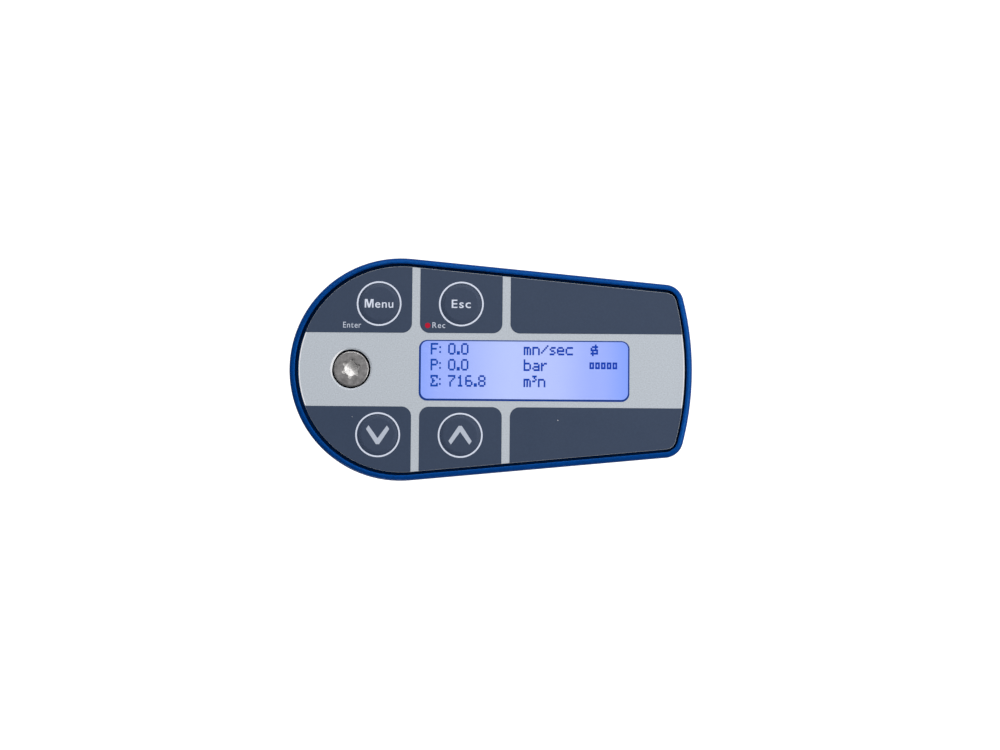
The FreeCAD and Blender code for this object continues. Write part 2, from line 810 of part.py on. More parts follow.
def make_keypad():
    """Film keypad: printed overlay, spacer and switch circuit, with a key and a snap dome at each spot."""
    overlay_inset = rim_width + S.overlay_gap
    screw_hole = (S.screw_x, None, S.screw_opening_radius)
    key_hole = S.key_radius + S.key_clearance
    overlay_holes = [screw_hole] + [(x, y, key_hole) for x, y in key_spots.values()]
    flex_hole = S.key_radius + S.key_flex_gap
    spacer_holes = [screw_hole] + [(x, y, flex_hole) for x, y in key_spots.values()]
    layers = [
        ("keypad_overlay", overlay_bottom, S.overlay_thickness, overlay_holes, window),
        ("keypad_spacer", spacer_bottom, S.spacer_thickness, spacer_holes, window),
        ("keypad_circuit", plate_top, S.circuit_thickness, [screw_hole], ledge_window),
    ]
    films = {}
    for name, z, thickness, holes, opening in layers:
        film = plate(name, z, thickness, overlay_inset, holes, [opening], shift=S.overlay_shift)
        films[name] = keep(film)
    overlay = films["keypad_overlay"]
    face = end_face(overlay, S.overlay_thickness.value)
    mouth = [wire for wire in face.Wires if abs(wire.BoundBox.Center.x - S.screw_x.value) < 1e-6]
    slope = dress(overlay, "Chamfer", mouth[0].Edges, S.screw_mouth_depth)
    slope.ChamferType = "Two distances"
    bind(slope, "Size2", S.screw_mouth_width)
    rise = S.overlay_thickness + S.key_emboss
    for name, (x, y) in key_spots.items():
        crown = S.key_radius - S.key_slope
        profile = [(None, None), (S.key_radius, None), (S.key_radius, S.overlay_thickness)]
        profile += [(crown, rise), (None, rise)]
        keep(turned(f"key_{name}", profile, overlay_bottom, x, y))
    for name, (x, y) in key_spots.items():
        keep(make_dome(f"dome_{name}", x, y))


def make_dome(name, x, y):
    """Thin snap dome that stands on the circuit under a key."""
    top = S.spacer_thickness - S.dome_clearance
    shoulder = top - S.dome_crown
    bend = S.dome_radius - S.dome_bend_inset
    sheet_edge = S.dome_radius - S.dome_sheet
    profile = [(sheet_edge, None), (S.dome_radius, None), (bend, shoulder), (None, top)]
    profile += [(None, top - S.dome_sheet), (bend - S.dome_sheet, shoulder - S.dome_sheet)]
    return turned(name, profile, spacer_bottom, x, y)


def make_display():
    """Clear window, liquid crystal panel, back light and the tray that holds them on the board."""
    clear = grown(window, -S.window_clearance)
    keep(block("display_window", spacer_bottom, overlay_top - spacer_bottom, clear))
    keep(block("lcd_panel", lcd_bottom, S.lcd_thickness, lcd_section))
    keep(block("backlight", backlight_bottom, S.backlight_thickness, lcd_section))
    inside = grown(lcd_section, S.lcd_clearance)
    tray = new_body("lcd_holder", board_top)
    outline = new_sketch(tray, "holder_outline")
    rounded_rectangle(outline, *grown(inside, S.holder_wall))
    pad(tray, outline, plate_bottom - board_top)
    hollow = new_sketch(tray, "holder_hollow", plate_bottom - board_top)
    rounded_rectangle(hollow, *inside)
    pocket(tray, hollow, plate_bottom - backlight_bottom)
    keep(tray)


def make_main_board():
    """Board of the display module, hung from the housing's bosses, with its chips below."""
    boss_hole = S.boss_radius + S.boss_clearance
    holes = [(S.screw_x, None, S.screw_boss_radius + S.boss_clearance)]
    holes += [(x, y, S.board_screw_radius + S.cover_hole_clearance) for x, y in board_screw_spots]
    notches = [(x, y, boss_hole) for x, y in module_screw_spots]
    inset = S.shell_wall + S.board_edge_gap
    keep(plate("main_board", board_bottom, S.board_thickness, inset, holes, notches=notches))
    board_screw_set("board_screws", board_screw_spots, board_bottom, False)
    chips = [(S.controller_side, S.controller_x), (S.memory_side, S.memory_x)]
    keep(make_chips("board_chips", chips, board_bottom - S.chip_height))


def make_chips(name, chips, z):
    """Square packages on a board, in a row along its middle: side and centre of each."""
    blocks = []
    for number, (side, x) in enumerate(chips, 1):
        blocks.append(box(f"{name}_{number}", side, side, S.chip_height, x - side / 2, -side / 2, z))
    return group(name, blocks)


def make_link():
    """Plug under the main board and the socket in the deck that it goes into."""
    left = S.link_x - S.link_half_length
    right = S.link_x + S.link_half_length
    tongue = (left, right, S.link_half_width, S.lcd_corner)
    shoulder = grown(tongue, S.link_wall)
    tip = housing_top - S.link_depth
    upper = block("link_plug_body", display_base_top, board_bottom - display_base_top, shoulder)
    lower = block("link_plug_tongue", tip, display_base_top - tip, tongue)
    keep(fuse("link_plug", [upper, lower]))
    socket = new_body("link_socket", sensor_board_top)
    outline = new_sketch(socket, "socket_outline")
    rounded_rectangle(outline, *shoulder)
    pad(socket, outline, housing_top - sensor_board_top)
    hollow = new_sketch(socket, "socket_hollow", housing_top - sensor_board_top)
    rounded_rectangle(hollow, *grown(tongue, S.link_clearance))
    pocket(socket, hollow, S.link_depth + S.link_clearance)
    keep(socket)
    return grown(shoulder, S.link_clearance)


def make_fixing_screw():
    """Pan-head screw with a six-lobe recess, its sealing washer and the pillar that it pulls on."""
    head = S.screw_head_height
    profile = [(None, None), (S.screw_radius, None), (S.screw_radius, S.screw_length)]
    profile += [(S.screw_head_radius, S.screw_length), (S.screw_head_radius, S.screw_length + head)]
    profile += [(None, S.screw_length + head)]
    blank = turned("fixing_screw_blank", profile, screw_head_bottom - S.screw_length, S.screw_x)
    top = end_face(blank, S.screw_length.value + head.value)
    dress(blank, "Fillet", top.Edges, S.screw_head_round)
    low = screw_head_top - S.lobe_depth
    lobes = [rod("screw_lobe_core", S.lobe_core_radius, S.lobe_depth, S.screw_x, None, low)]
    tip = low - S.recess_point_depth
    point = frustum("screw_recess_point", S.recess_point_radius, S.lobe_core_radius,
                    S.recess_point_depth, S.screw_x, None, tip)
    lobes.append(point)
    for number in range(LOBE_COUNT):
        angle = S.lobe_turn + 360 * number / LOBE_COUNT
        x = S.screw_x + S.lobe_circle_radius * cosine(angle)
        y = S.lobe_circle_radius * sine(angle)
        lobes.append(rod(f"screw_lobe_{number + 1}", S.lobe_radius, S.lobe_depth, x, y, low))
    keep(cut("fixing_screw", blank, lobes))
    washer_bore = S.screw_radius + S.screw_hole_clearance
    keep(tube("screw_seal", S.screw_head_radius, washer_bore, S.seal_thickness, screw_seat, S.screw_x))
    stud = S.pillar_stud_length
    tall = pillar_top - base_top + stud
    drill = screw_head_bottom - S.screw_length - base_top + stud - S.screw_hole_clearance
    bore = S.screw_radius + S.thread_clearance
    profile = [(None, None), (S.pillar_stud_radius, None), (S.pillar_stud_radius, stud)]
    profile += [(S.pillar_radius, stud), (S.pillar_radius, tall)]
    profile += [(bore, tall), (bore, drill), (None, drill)]
    keep(turned("fixing_pillar", profile, base_top - stud, S.screw_x))


def make_transmitter():
    """Extruded housing with its screw ports, and the deck that closes its top."""
    name = "transmitter_housing"
    body = new_body(name, housing_bottom)
    section = new_sketch(body, "extrusion_wall")
    teardrop(section, 0)
    teardrop(section, S.transmitter_wall)
    pad(body, section, S.transmitter_height)
    ports = new_sketch(body, "extrusion_ports")
    for x, y in port_spots:
        hole(ports, x, y, S.port_radius)
    pad(body, ports, S.transmitter_height)
    bores = new_sketch(body, "extrusion_bores")
    for x, y in port_spots:
        hole(bores, x, y, S.cover_screw_radius + S.thread_clearance)
    pocket(body, bores, S.transmitter_height, upward=True)
    seat = new_sketch(body, "extrusion_deck_seat", S.transmitter_height)
    teardrop(seat, S.transmitter_wall)
    pocket(body, seat, S.deck_thickness)
    for height in (0.0, S.transmitter_height.value):
        face = end_face(body, height)
        dress(body, "Chamfer", face.OuterWire.Edges, S.edge_chamfer)
    keep(body)

    socket_way = make_link()
    holes = [(S.screw_x, None, S.pillar_radius + S.cover_clearance)]
    holes += [(x, y, cover_hole) for x, y in port_spots]
    slot = (
        hook_x - S.hook_clearance,
        hook_x + S.hook_thickness + S.hook_slot_room,
        S.hook_half_width + S.hook_clearance,
        S.lcd_corner,
    )
    inset = S.transmitter_wall + S.cover_clearance
    flat = plate("deck_plate", deck_bottom, S.deck_thickness, inset, holes, [socket_way, slot])
    post = (S.post_radius, S.board_screw_radius + S.thread_clearance, S.post_height, sensor_board_top)
    posts = [tube(f"deck_post_{number}", *post, x, y) for number, (x, y) in enumerate(post_spots, 1)]
    whole = fuse("deck_whole", [flat] + posts)
    keep(cut("transmitter_deck", whole, countersinks("deck_sink", port_spots, housing_top, True)))
    screw_set("deck_screws", port_spots, housing_top, True)

    gasket = (S.gasket_thickness, S.gasket_inset)
    keep(plate("module_gasket", housing_top, *gasket, inner=S.gasket_reach))
    screw_set("module_screws", module_screw_spots, module_bottom, False)

    board = new_body("sensor_board", sensor_board_bottom)
    outline = new_sketch(board, "sensor_board_outline")
    half = S.sensor_board_half
    rounded_rectangle(outline, S.sensor_board_left, sensor_board_right, half, S.sensor_board_corner)
    for x, y in post_spots:
        hole(outline, x, y, S.board_screw_radius + S.cover_hole_clearance)
    pad(board, outline, S.board_thickness)
    keep(board)
    board_screw_set("sensor_board_screws", post_spots, sensor_board_bottom, False)
    chips = [(S.amplifier_side, S.amplifier_x), (S.converter_side, S.converter_x)]
    keep(make_chips("sensor_chips", chips, sensor_board_bottom - S.chip_height))


def make_base():
    """Machined base: plate under the housing, and the collar that holds the probe tube."""
    bore = S.probe_radius + S.tube_clearance
    holes = [(None, None, bore), (socket_x, None, S.socket_shank_radius + S.socket_clearance)]
    holes += [(x, y, cover_hole) for x, y in port_spots]
    flat = plate("base_flat", base_bottom, S.base_thickness, S.base_inset, holes)
    face = end_face(flat, 0.0)
    dress(flat, "Chamfer", face.OuterWire.Edges, S.base_chamfer)
    straight = S.collar_height - S.collar_flare_height
    edge = S.collar_radius - S.collar_chamfer
    profile = [(bore, None), (edge, None), (S.collar_radius, S.collar_chamfer), (S.collar_radius, straight)]
    profile += [(S.collar_flare_radius, S.collar_height), (bore, S.collar_height)]
    collar = turned("base_collar", profile, collar_bottom)
    whole = fuse("base_whole", [flat, collar])
    tools = countersinks("base_sink", port_spots, base_bottom, False)
    stud = S.pillar_stud_length + S.cover_clearance
    stud_hole = S.pillar_stud_radius + S.thread_clearance
    tools.append(rod("base_stud_hole", stud_hole, stud, S.screw_x, None, base_top - stud))
    keep(cut("base_plate", whole, tools))
    keep(plate("base_gasket", base_top, S.gasket_thickness, S.base_inset, inner=S.gasket_reach))
    screw_set("base_screws", port_spots, base_bottom, False)


def make_socket():
    """Threaded four-pin connector that points down from the tail."""
    x = socket_x
    seal_bottom = base_bottom - S.seal_thickness
    thread = S.socket_thread_length
    flange = thread + S.socket_flange_height
    mouth = seal_bottom - flange
    top = flange + S.socket_shank_height
    chamfer = S.socket_chamfer
    profile = [(S.socket_bore_radius, None), (S.socket_thread_radius - chamfer, None)]
    profile += [(S.socket_thread_radius, chamfer), (S.socket_thread_radius, thread)]
    profile += [(S.socket_flange_radius, thread), (S.socket_flange_radius, flange)]
    profile += [(S.socket_shank_radius, flange), (S.socket_shank_radius, top)]
    profile += [(S.socket_insert_radius, top), (S.socket_insert_radius, S.socket_bore_depth)]
    profile += [(S.socket_bore_radius, S.socket_bore_depth)]
    keep(turned("m12_shell", profile, mouth, x))
    insert_z = mouth + S.socket_bore_depth
    spots = []
    for angle in SOCKET_PIN_ANGLES:
        reach = S.socket_pin_circle
        spots.append((x + reach * cosine(as_size(angle)), reach * sine(as_size(angle))))
    insert_radius = S.socket_insert_radius - S.insert_clearance
    insert = rod("insert_blank", insert_radius, S.socket_insert_height, x, None, insert_z)
    pin_bore = S.socket_pin_radius + S.insert_clearance
    bores = []
    pins = []
    for number, (pin_x, pin_y) in enumerate(spots, 1):
        bores.append(rod(f"insert_bore_{number}", pin_bore, S.socket_insert_height, pin_x, pin_y, insert_z))
        length = S.socket_pin_reach + S.socket_insert_height + S.socket_pin_tail
        pin_z = insert_z - S.socket_pin_reach
        pins.append(rod(f"m12_pin_{number}", S.socket_pin_radius, length, pin_x, pin_y, pin_z))
    keep(cut("m12_insert", insert, bores))
    keep(group("m12_pins", pins))
    bore = S.socket_shank_radius + S.socket_clearance
    keep(tube("m12_seal", S.socket_seal_radius, bore, S.seal_thickness, seal_bottom, x))
    nut = hexagon_bar("m12_nut_bar", S.socket_nut_flats, S.socket_nut_height, x, None, base_top)
    nut_bore = S.socket_shank_radius + S.thread_clearance
    thread_hole = rod("m12_nut_thread", nut_bore, S.socket_nut_height, x, None, base_top)
    keep(cut("m12_nut", nut, [thread_hole]))


def make_probe():
    """Probe tube, the tip with its flow window and sensing pins, and the pressure capsule on top."""
    keep(tube("probe_tube", S.probe_radius, tube_bore, tube_top - tip_shoulder, tip_shoulder))
    spigot_radius = tube_bore - S.tube_clearance
    shoulder = tip_shoulder - tip_end
    nose = S.probe_radius - S.tip_chamfer
    profile = [(None, None), (nose, None), (S.probe_radius, S.tip_chamfer), (S.probe_radius, shoulder)]
    profile += [(spigot_radius, shoulder), (spigot_radius, shoulder + S.tip_spigot)]
    profile += [(None, shoulder + S.tip_spigot)]
    blank = turned("sensor_tip_blank", profile, tip_end)
    half = S.flow_window_width / 2
    slot = new_body("flow_window")
    section = new_sketch(slot, "flow_window_section", plane="XZ_Plane")
    rounded_rectangle(section, -half, half, S.flow_window_height / 2, S.flow_window_corner)
    feature = pad(slot, section, S.probe_radius * 4)
    feature.Midplane = True
    slot.Placement.Rotation = FreeCAD.Rotation(FreeCAD.Vector(0, 0, 1), 90)
    place(slot, z=flow_window_bottom + S.flow_window_height / 2)
    base_room = S.sensor_base_radius + S.tube_clearance
    well_bottom = flow_window_top - S.flow_window_corner
    well_height = S.flow_window_corner + S.tip_web + S.tip_spigot
    well = rod("sensor_well", base_room, well_height, None, None, well_bottom)
    keep(cut("sensor_tip", blank, [slot, well]))

    header_top = flow_window_top + S.sensor_base_height
    header = rod("sensor_header", S.sensor_base_radius, S.sensor_base_height, None, None, flow_window_top)
    pins = [
        ("heated_pin", S.sensor_pin_y, S.heated_pin_radius, S.heated_pin_reach),
        ("reference_pin", -S.sensor_pin_y, S.reference_pin_radius, S.reference_pin_reach),
    ]
    bores = []
    for name, y, radius, reach in pins:
        bore = radius + S.insert_clearance
        bores.append(rod(f"{name}_bore", bore, S.sensor_base_height, None, y, flow_window_top))
        length = reach + S.sensor_base_height
        keep(rod(name, radius, length, None, y, flow_window_top - reach))
    keep(cut("sensor_base", header, bores))
    keep(rod("sensor_cable", S.cable_radius, sensor_board_bottom - header_top, None, None, header_top))

    seat = S.probe_radius + S.tube_clearance
    cable_way = S.cable_radius + S.cover_clearance
    low = S.tube_stub - S.capsule_cover
    foot = S.capsule_cover
    profile = [(seat, None), (S.capsule_radius, None), (S.capsule_radius, S.capsule_height)]
    profile += [(cable_way, S.capsule_height), (cable_way, foot), (seat, foot)]
    keep(turned("pressure_sensor", profile, base_top + low))


def make_fitting():
    """Compression fitting: body, captive seal, ferrule, thrust ring and gland nut."""
    bore = S.probe_radius + S.bore_clearance
    tip = S.thread_radius - S.thread_chamfer
    root_z = S.thread_length
    neck_start = root_z + S.hex_height
    neck_end = neck_start + S.neck_height
    seat_start = neck_end - S.seat_depth
    profile = [(bore, None), (tip, None), (S.thread_radius, S.thread_chamfer), (S.thread_radius, root_z)]
    profile += [(S.neck_radius, root_z), (S.neck_radius, neck_end - S.neck_chamfer)]
    profile += [(S.neck_radius - S.neck_chamfer, neck_end), (S.seat_radius, neck_end), (bore, seat_start)]
    core = turned("fitting_core", profile, -S.thread_length)
    bar = hexagon("fitting_hex", S.hex_flats, S.hex_height, S.hex_chamfer)
    hollow = rod("fitting_hex_bore", bore, S.hex_height)
    ring = cut("fitting_hex_ring", bar, [hollow])
    groove = tube("seal_groove", S.groove_outer, S.groove_inner, S.groove_depth)
    whole = fuse("fitting_whole", [core, ring])
    keep(cut("fitting_body", whole, [groove]))
    gap = S.ferrule_clearance
    seal = (S.groove_outer - gap, S.groove_inner + gap, S.groove_depth - gap)
    keep(tube("thread_seal", *seal))

    slope = (S.seat_radius - bore) / S.seat_depth
    grip = S.probe_radius + gap
    nose_height = S.seat_depth - S.ferrule_drop
    nose = bore + slope * nose_height - gap
    shoulder = S.seat_radius - gap
    profile = [(grip, None), (nose, None), (shoulder, S.ferrule_drop), (shoulder, S.ferrule_height)]
    profile += [(grip, S.ferrule_height)]
    ferrule_bottom = neck_top - S.ferrule_drop
    keep(turned("ferrule", profile, ferrule_bottom))
    ring_bottom = ferrule_bottom + S.ferrule_height
    ring_bore = S.probe_radius + S.ring_clearance
    keep(tube("thrust_ring", S.thrust_ring_radius, ring_bore, S.thrust_ring_height, ring_bottom))
    ring_top = ring_bottom + S.thrust_ring_height

    blank = hexagon("gland_hex", S.hex_flats, S.nut_height, S.hex_chamfer, gland_bottom)
    thread_bore = S.neck_radius + S.nut_clearance
    thread = rod("gland_thread", thread_bore, ring_top - gland_bottom, None, None, gland_bottom)
    way = rod("gland_way", S.probe_radius + S.nut_bore_clearance, S.nut_height, None, None, gland_bottom)
    keep(cut("gland_nut", blank, [thread, way]))


make_display_housing()
make_display_base()
make_keypad()
make_display()
make_main_board()
make_fixing_screw()
make_transmitter()
make_base()
make_socket()
make_probe()
make_fitting()
doc.recompute()

for thing in doc.Objects:
    if "Invalid" in thing.State or "Error" in thing.State:
        raise RuntimeError(f"{thing.Label} failed to build")
for piece in pieces:
    if piece.Shape.isNull() or not piece.Shape.isValid() or not piece.Shape.Solids:
        raise RuntimeError(f"{piece.Label} is not a sound solid")

os.makedirs("parts", exist_ok=True)
for piece in pieces:
    piece.Shape.exportStep(f"parts/{piece.Label}.step")
print(f"{len(pieces)} pieces written")
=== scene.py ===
# %% [markdown]
# # Compressed air flow meter
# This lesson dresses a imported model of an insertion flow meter: a blue display head on a steel probe.
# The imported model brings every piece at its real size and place. The lesson only adds what the eye sees:
# finishes, the print on the keypad, the lit screen, the threads and the screw sockets.

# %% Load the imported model
import json
import math

import bmesh
import bpy
from mathutils import Matrix, Vector


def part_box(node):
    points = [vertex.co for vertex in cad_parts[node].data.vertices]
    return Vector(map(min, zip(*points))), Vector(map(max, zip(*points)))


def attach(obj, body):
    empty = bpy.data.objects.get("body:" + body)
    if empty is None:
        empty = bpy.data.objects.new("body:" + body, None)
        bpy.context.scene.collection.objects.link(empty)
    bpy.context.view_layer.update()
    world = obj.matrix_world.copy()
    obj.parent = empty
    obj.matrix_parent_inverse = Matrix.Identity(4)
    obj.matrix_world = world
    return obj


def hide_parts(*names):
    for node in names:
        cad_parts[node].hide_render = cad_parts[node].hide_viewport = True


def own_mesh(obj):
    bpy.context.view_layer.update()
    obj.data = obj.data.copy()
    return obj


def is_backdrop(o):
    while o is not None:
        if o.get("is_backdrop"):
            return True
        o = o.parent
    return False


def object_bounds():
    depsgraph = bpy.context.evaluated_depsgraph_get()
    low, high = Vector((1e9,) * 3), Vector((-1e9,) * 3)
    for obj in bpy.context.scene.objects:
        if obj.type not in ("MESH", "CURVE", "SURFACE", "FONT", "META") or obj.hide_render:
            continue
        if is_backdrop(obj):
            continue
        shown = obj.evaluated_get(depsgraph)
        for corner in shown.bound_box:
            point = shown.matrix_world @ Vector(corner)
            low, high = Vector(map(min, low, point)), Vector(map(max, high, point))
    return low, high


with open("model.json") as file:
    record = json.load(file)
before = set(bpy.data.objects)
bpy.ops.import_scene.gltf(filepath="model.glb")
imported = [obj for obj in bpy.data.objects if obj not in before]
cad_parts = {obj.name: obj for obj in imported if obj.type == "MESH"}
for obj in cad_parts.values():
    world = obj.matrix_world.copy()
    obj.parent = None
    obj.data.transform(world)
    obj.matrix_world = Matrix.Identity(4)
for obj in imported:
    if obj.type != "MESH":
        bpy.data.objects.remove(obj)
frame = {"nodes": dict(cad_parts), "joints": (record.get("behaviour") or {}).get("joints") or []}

MM = 0.001
nodes = frame["nodes"]
travels = {joint["name"]: joint["range_m"] for joint in frame["joints"] if "range_m" in joint}
cad_low, cad_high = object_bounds()
print(f"{len(nodes)} pieces, {[round(size / MM, 1) for size in cad_high - cad_low]} mm over all")

# %% [markdown]
# ## Camera
# The photograph looks down on the face, a little from the lower right. A camera in Blender looks along its
# own -Z, so a camera without any turn already looks straight down. Three small turns then follow the
# photograph: yaw about Y, pitch about X and roll about the line of sight.

# %% Place the camera
CAMERA_PLACE = Vector((32.48, -19.65, 533.13)) * MM
CAMERA_YAW = math.radians(1.111)
CAMERA_PITCH = math.radians(2.635)
CAMERA_ROLL = math.radians(0.449)
CAMERA_LENS = 58.03
CAMERA_NEAR = 0.01
SENSOR_WIDTH = 36.0


def add_object(name, data):
    """A new object in the scene."""
    made = bpy.data.objects.new(name, data)
    bpy.context.scene.collection.objects.link(made)
    return made


camera = add_object("Camera", bpy.data.cameras.new("Camera"))
camera.location = CAMERA_PLACE
camera.rotation_mode = "ZXY"
camera.rotation_euler = (CAMERA_PITCH, CAMERA_YAW, CAMERA_ROLL)
camera.data.lens = CAMERA_LENS
camera.data.sensor_width = SENSOR_WIDTH
camera.data.clip_start = CAMERA_NEAR
bpy.context.scene.camera = camera
bpy.context.scene.view_settings.view_transform = "Standard"
print("camera looks from", [round(number, 3) for number in camera.location])

# %% [markdown]
# ## Nodes in code
# Materials are graphs of nodes. One small helper fills a node's sockets: where it is given another node's
# output it makes a link, and where it is given a number it sets it. The other helpers add nodes by it.

# %% Helpers for node graphs
SOCKET_KINDS = {"Colour": "Color", "Normal": "Vector"}


def fill(tree, node, sockets):
    for socket, value in sockets.items():
        if isinstance(value, bpy.types.NodeSocket):
            tree.links.new(value, node.inputs[socket])
        else:
            node.inputs[socket].default_value = value


def put(tree, kind, sockets=None, **options):
    """Add a node of a kind to a tree, with its options and sockets filled."""
    node = tree.nodes.new(f"ShaderNode{kind}")
    for option, value in options.items():
        setattr(node, option, value)
    fill(tree, node, sockets or {})
    return node


def maths(tree, operation, first, second=0.0):
    return put(tree, "Math", {0: first, 1: second}, operation=operation).outputs[0]


def scale(tree, vector, factor):
    """A vector or a colour times a number."""
    return put(tree, "VectorMath", {0: vector, "Scale": factor}, operation="SCALE").outputs[0]


def blend(tree, share, first, second):
    """Mix two colours: share 0 gives the first, 1 the second."""
    mixed = put(tree, "Mix", {0: share, 6: first, 7: second}, data_type="RGBA", clamp_factor=True)
    return mixed.outputs[2]


def spread(tree, value, low, high, new_low=0.0, new_high=1.0):
    """Stretch a range of values to another one."""
    sockets = {"Value": value, "From Min": low, "From Max": high, "To Min": new_low, "To Max": new_high}
    return put(tree, "MapRange", sockets).outputs[0]


def make_group(name, inputs, effect):
    """A node group with named sockets; the effect makes its outputs from its inputs."""
    tree = bpy.data.node_groups.new(name, "ShaderNodeTree")

    def add_socket(socket, side):
        kind = SOCKET_KINDS.get(socket, "Float")
        return tree.interface.new_socket(socket, in_out=side, socket_type=f"NodeSocket{kind}")

    for socket, value in inputs.items():
        add_socket(socket, "INPUT").default_value = value
    results = effect(tree, tree.nodes.new("NodeGroupInput").outputs)
    for socket in results:
        add_socket(socket, "OUTPUT")
    fill(tree, tree.nodes.new("NodeGroupOutput"), results)
    return tree


def use_group(tree, group, sockets):
    return put(tree, "Group", sockets, node_tree=group).outputs


def new_material(name):
    """A material with its node tree and its shader."""
    material = bpy.data.materials.new(name)
    material.use_nodes = True
    tree = material.node_tree
    return material, tree, tree.nodes["Principled BSDF"]


def rgba(*colour):
    return (*colour, 1.0)


print("node helpers ready")

# %% [markdown]
# ## Stage and light
# The photograph was cut out on pure white and lit by soft light from the right and the far side: the right
# edges of rim and keys are bright, the near and left ones dark. A floor, a sky that is bright on that side
# and two softboxes do the same. Floor and sky glow white for the camera alone, so that the ground is white
# and throws no light at the dark edges. The floor lies under the probe's lowest reach and is clear from
# below.
#
# The other lights hang lower than the face, which never sees them. Three shine straight down: steel mirrors
# the pools of light that they make on the floor. A wide one fills in the sides that face away from the
# softboxes. Bright metal would mirror the softboxes as white patches that melt into the ground, so light
# linking keeps them off it, and wide mild sheets of light take their place.

# %% Floor, sky and lights
WHITE = rgba(1.0, 1.0, 1.0)
FLOOR_SIZE = 6.0
FLOOR_GAP = 3.0 * MM
FLOOR_Z = cad_low.z + travels["probe_insertion"][0] - FLOOR_GAP
FLOOR_GREY = rgba(0.32, 0.32, 0.32)
FLOOR_GLOW = 0.93
SKY_SIDE = Vector((0.8, 0.6, 0.0))
SKY_START = -0.6
SKY_DARK = rgba(0.06, 0.06, 0.065)
SKY_BRIGHT = rgba(0.80, 0.80, 0.80)


def make_floor():
    half = FLOOR_SIZE / 2
    mesh = bpy.data.meshes.new("floor")
    corners = [(x, y, FLOOR_Z) for x, y in ((-half, -half), (half, -half), (half, half), (-half, half))]
    mesh.from_pydata(corners, [], [(0, 1, 2, 3)])
    paint, tree, shader = new_material("Floor white")
    seen = put(tree, "LightPath").outputs["Is Camera Ray"]
    glow = maths(tree, "MULTIPLY", seen, FLOOR_GLOW)
    fill(tree, shader, {"Emission Color": WHITE, "Emission Strength": glow})
    fill(tree, shader, {"Base Color": FLOOR_GREY, "Roughness": 0.9, "Specular IOR Level": 0.1})
    below = put(tree, "NewGeometry").outputs["Backfacing"]
    clear = put(tree, "BsdfTransparent").outputs[0]
    sheet = put(tree, "MixShader", {0: below, 1: shader.outputs[0], 2: clear})
    tree.links.new(sheet.outputs[0], tree.nodes["Material Output"].inputs["Surface"])
    mesh.materials.append(paint)
    add_object("floor", mesh)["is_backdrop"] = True


def make_sky():
    world = bpy.data.worlds.new("Studio")
    bpy.context.scene.world = world
    world.use_nodes = True
    tree = world.node_tree
    sight = put(tree, "TexCoord").outputs["Generated"]
    side = put(tree, "VectorMath", {0: sight, 1: SKY_SIDE}, operation="DOT_PRODUCT").outputs["Value"]
    colour = blend(tree, spread(tree, side, SKY_START, 1.0), SKY_DARK, SKY_BRIGHT)
    seen = put(tree, "LightPath").outputs["Is Camera Ray"]
    tree.links.new(blend(tree, seen, colour, WHITE), tree.nodes["Background"].inputs["Color"])


def make_light(name, place, aim, width, height, power):
    data = bpy.data.lights.new(name, "AREA")
    data.shape = "RECTANGLE"
    data.size = width
    data.size_y = height
    data.energy = power
    light = add_object(name, data)
    light.location = place
    light.rotation_euler = (aim - light.location).to_track_quat("-Z", "Y").to_euler()
    light.visible_camera = False
    return light


def link_light(light, pieces, state):
    """Let a light shine on these pieces alone (INCLUDE) or on all but them (EXCLUDE)."""
    chosen = bpy.data.collections.new(f"{light.name} {state.lower()}")
    for piece in pieces:
        chosen.objects.link(piece)
    for entry in chosen.collection_objects:
        entry.light_linking.link_state = state
    light.light_linking.receiver_collection = chosen


AIM = Vector((20.0, 0.0, 130.0)) * MM
# Place, then width, height and power of the softbox and of the sheet.
SOFTBOXES = {
    "Right": (Vector((0.66, -0.02, 0.66)), (0.5, 0.5, 4.0), (1.0, 1.0, 3.4)),
    "Far": (Vector((-0.10, 0.70, 0.83)), (0.8, 0.6, 5.2), (1.2, 0.9, 3.8)),
}
BRIGHT_METALS = ("stainless", "nickel_plate")
POOL_REACH = 0.50
POOL_HEIGHT = 0.07
POOL_WIDTH = 0.12
# Azimuth in degrees and power.
POOLS = {"right": (25.0, 2.0), "back": (145.0, 1.5), "front": (285.0, 1.5)}
# Place, aim, width, height and power.
SIDE_FILL = (Vector((-0.25, -0.62, -0.02)), Vector((0.02, 0.0, 0.02)), 0.5, 0.18, 1.1)

make_floor()
make_sky()
metal_pieces = [node for node in nodes.values() if node.data.materials[0].name in BRIGHT_METALS]
for side, (place, softbox, sheet) in SOFTBOXES.items():
    link_light(make_light(f"{side} softbox", place, AIM, *softbox), metal_pieces, "EXCLUDE")
    link_light(make_light(f"{side} sheet", place, AIM, *sheet), metal_pieces, "INCLUDE")
for side, (azimuth, power) in POOLS.items():
    angle = math.radians(azimuth)
    place = Vector((POOL_REACH * math.cos(angle), POOL_REACH * math.sin(angle), POOL_HEIGHT))
    below = Vector((place.x, place.y, FLOOR_Z))
    make_light(f"Pool {side}", place, below, POOL_WIDTH, POOL_WIDTH, power)
make_light("Side fill", *SIDE_FILL)
print("floor, sky and", len(bpy.data.lights), "lights ready")

# %% [markdown]
# ## Shared effects
# No real surface is one flat colour. Paint has fine grain, handled parts have dull and shiny patches,
# turned metal has rings, drawn tube has lines along it, and edges are lighter, partly rubbed wear and
# partly a painted highlight. Narrow gaps are darkened as painted shade. Each effect is a node group that
# finishes use with their own numbers. They read object coordinates, which here are metres in the meter's
# own frame, so a grain size is a real size.

# %% Grain, smudges, tool marks, edges and painted gap shade
NOISE_RANGE = (0.3, 0.7)
EDGE_BEND = (0.98, 0.75)
GAP_SHADE_RANGE = (0.35, 0.85)
UPRIGHT = (0.0, 0.0, 1.0)
RAYS = 6


def place_on(tree):
    """X, Y and Z of the place on the surface."""
    return put(tree, "SeparateXYZ", {0: put(tree, "TexCoord").outputs["Object"]}).outputs


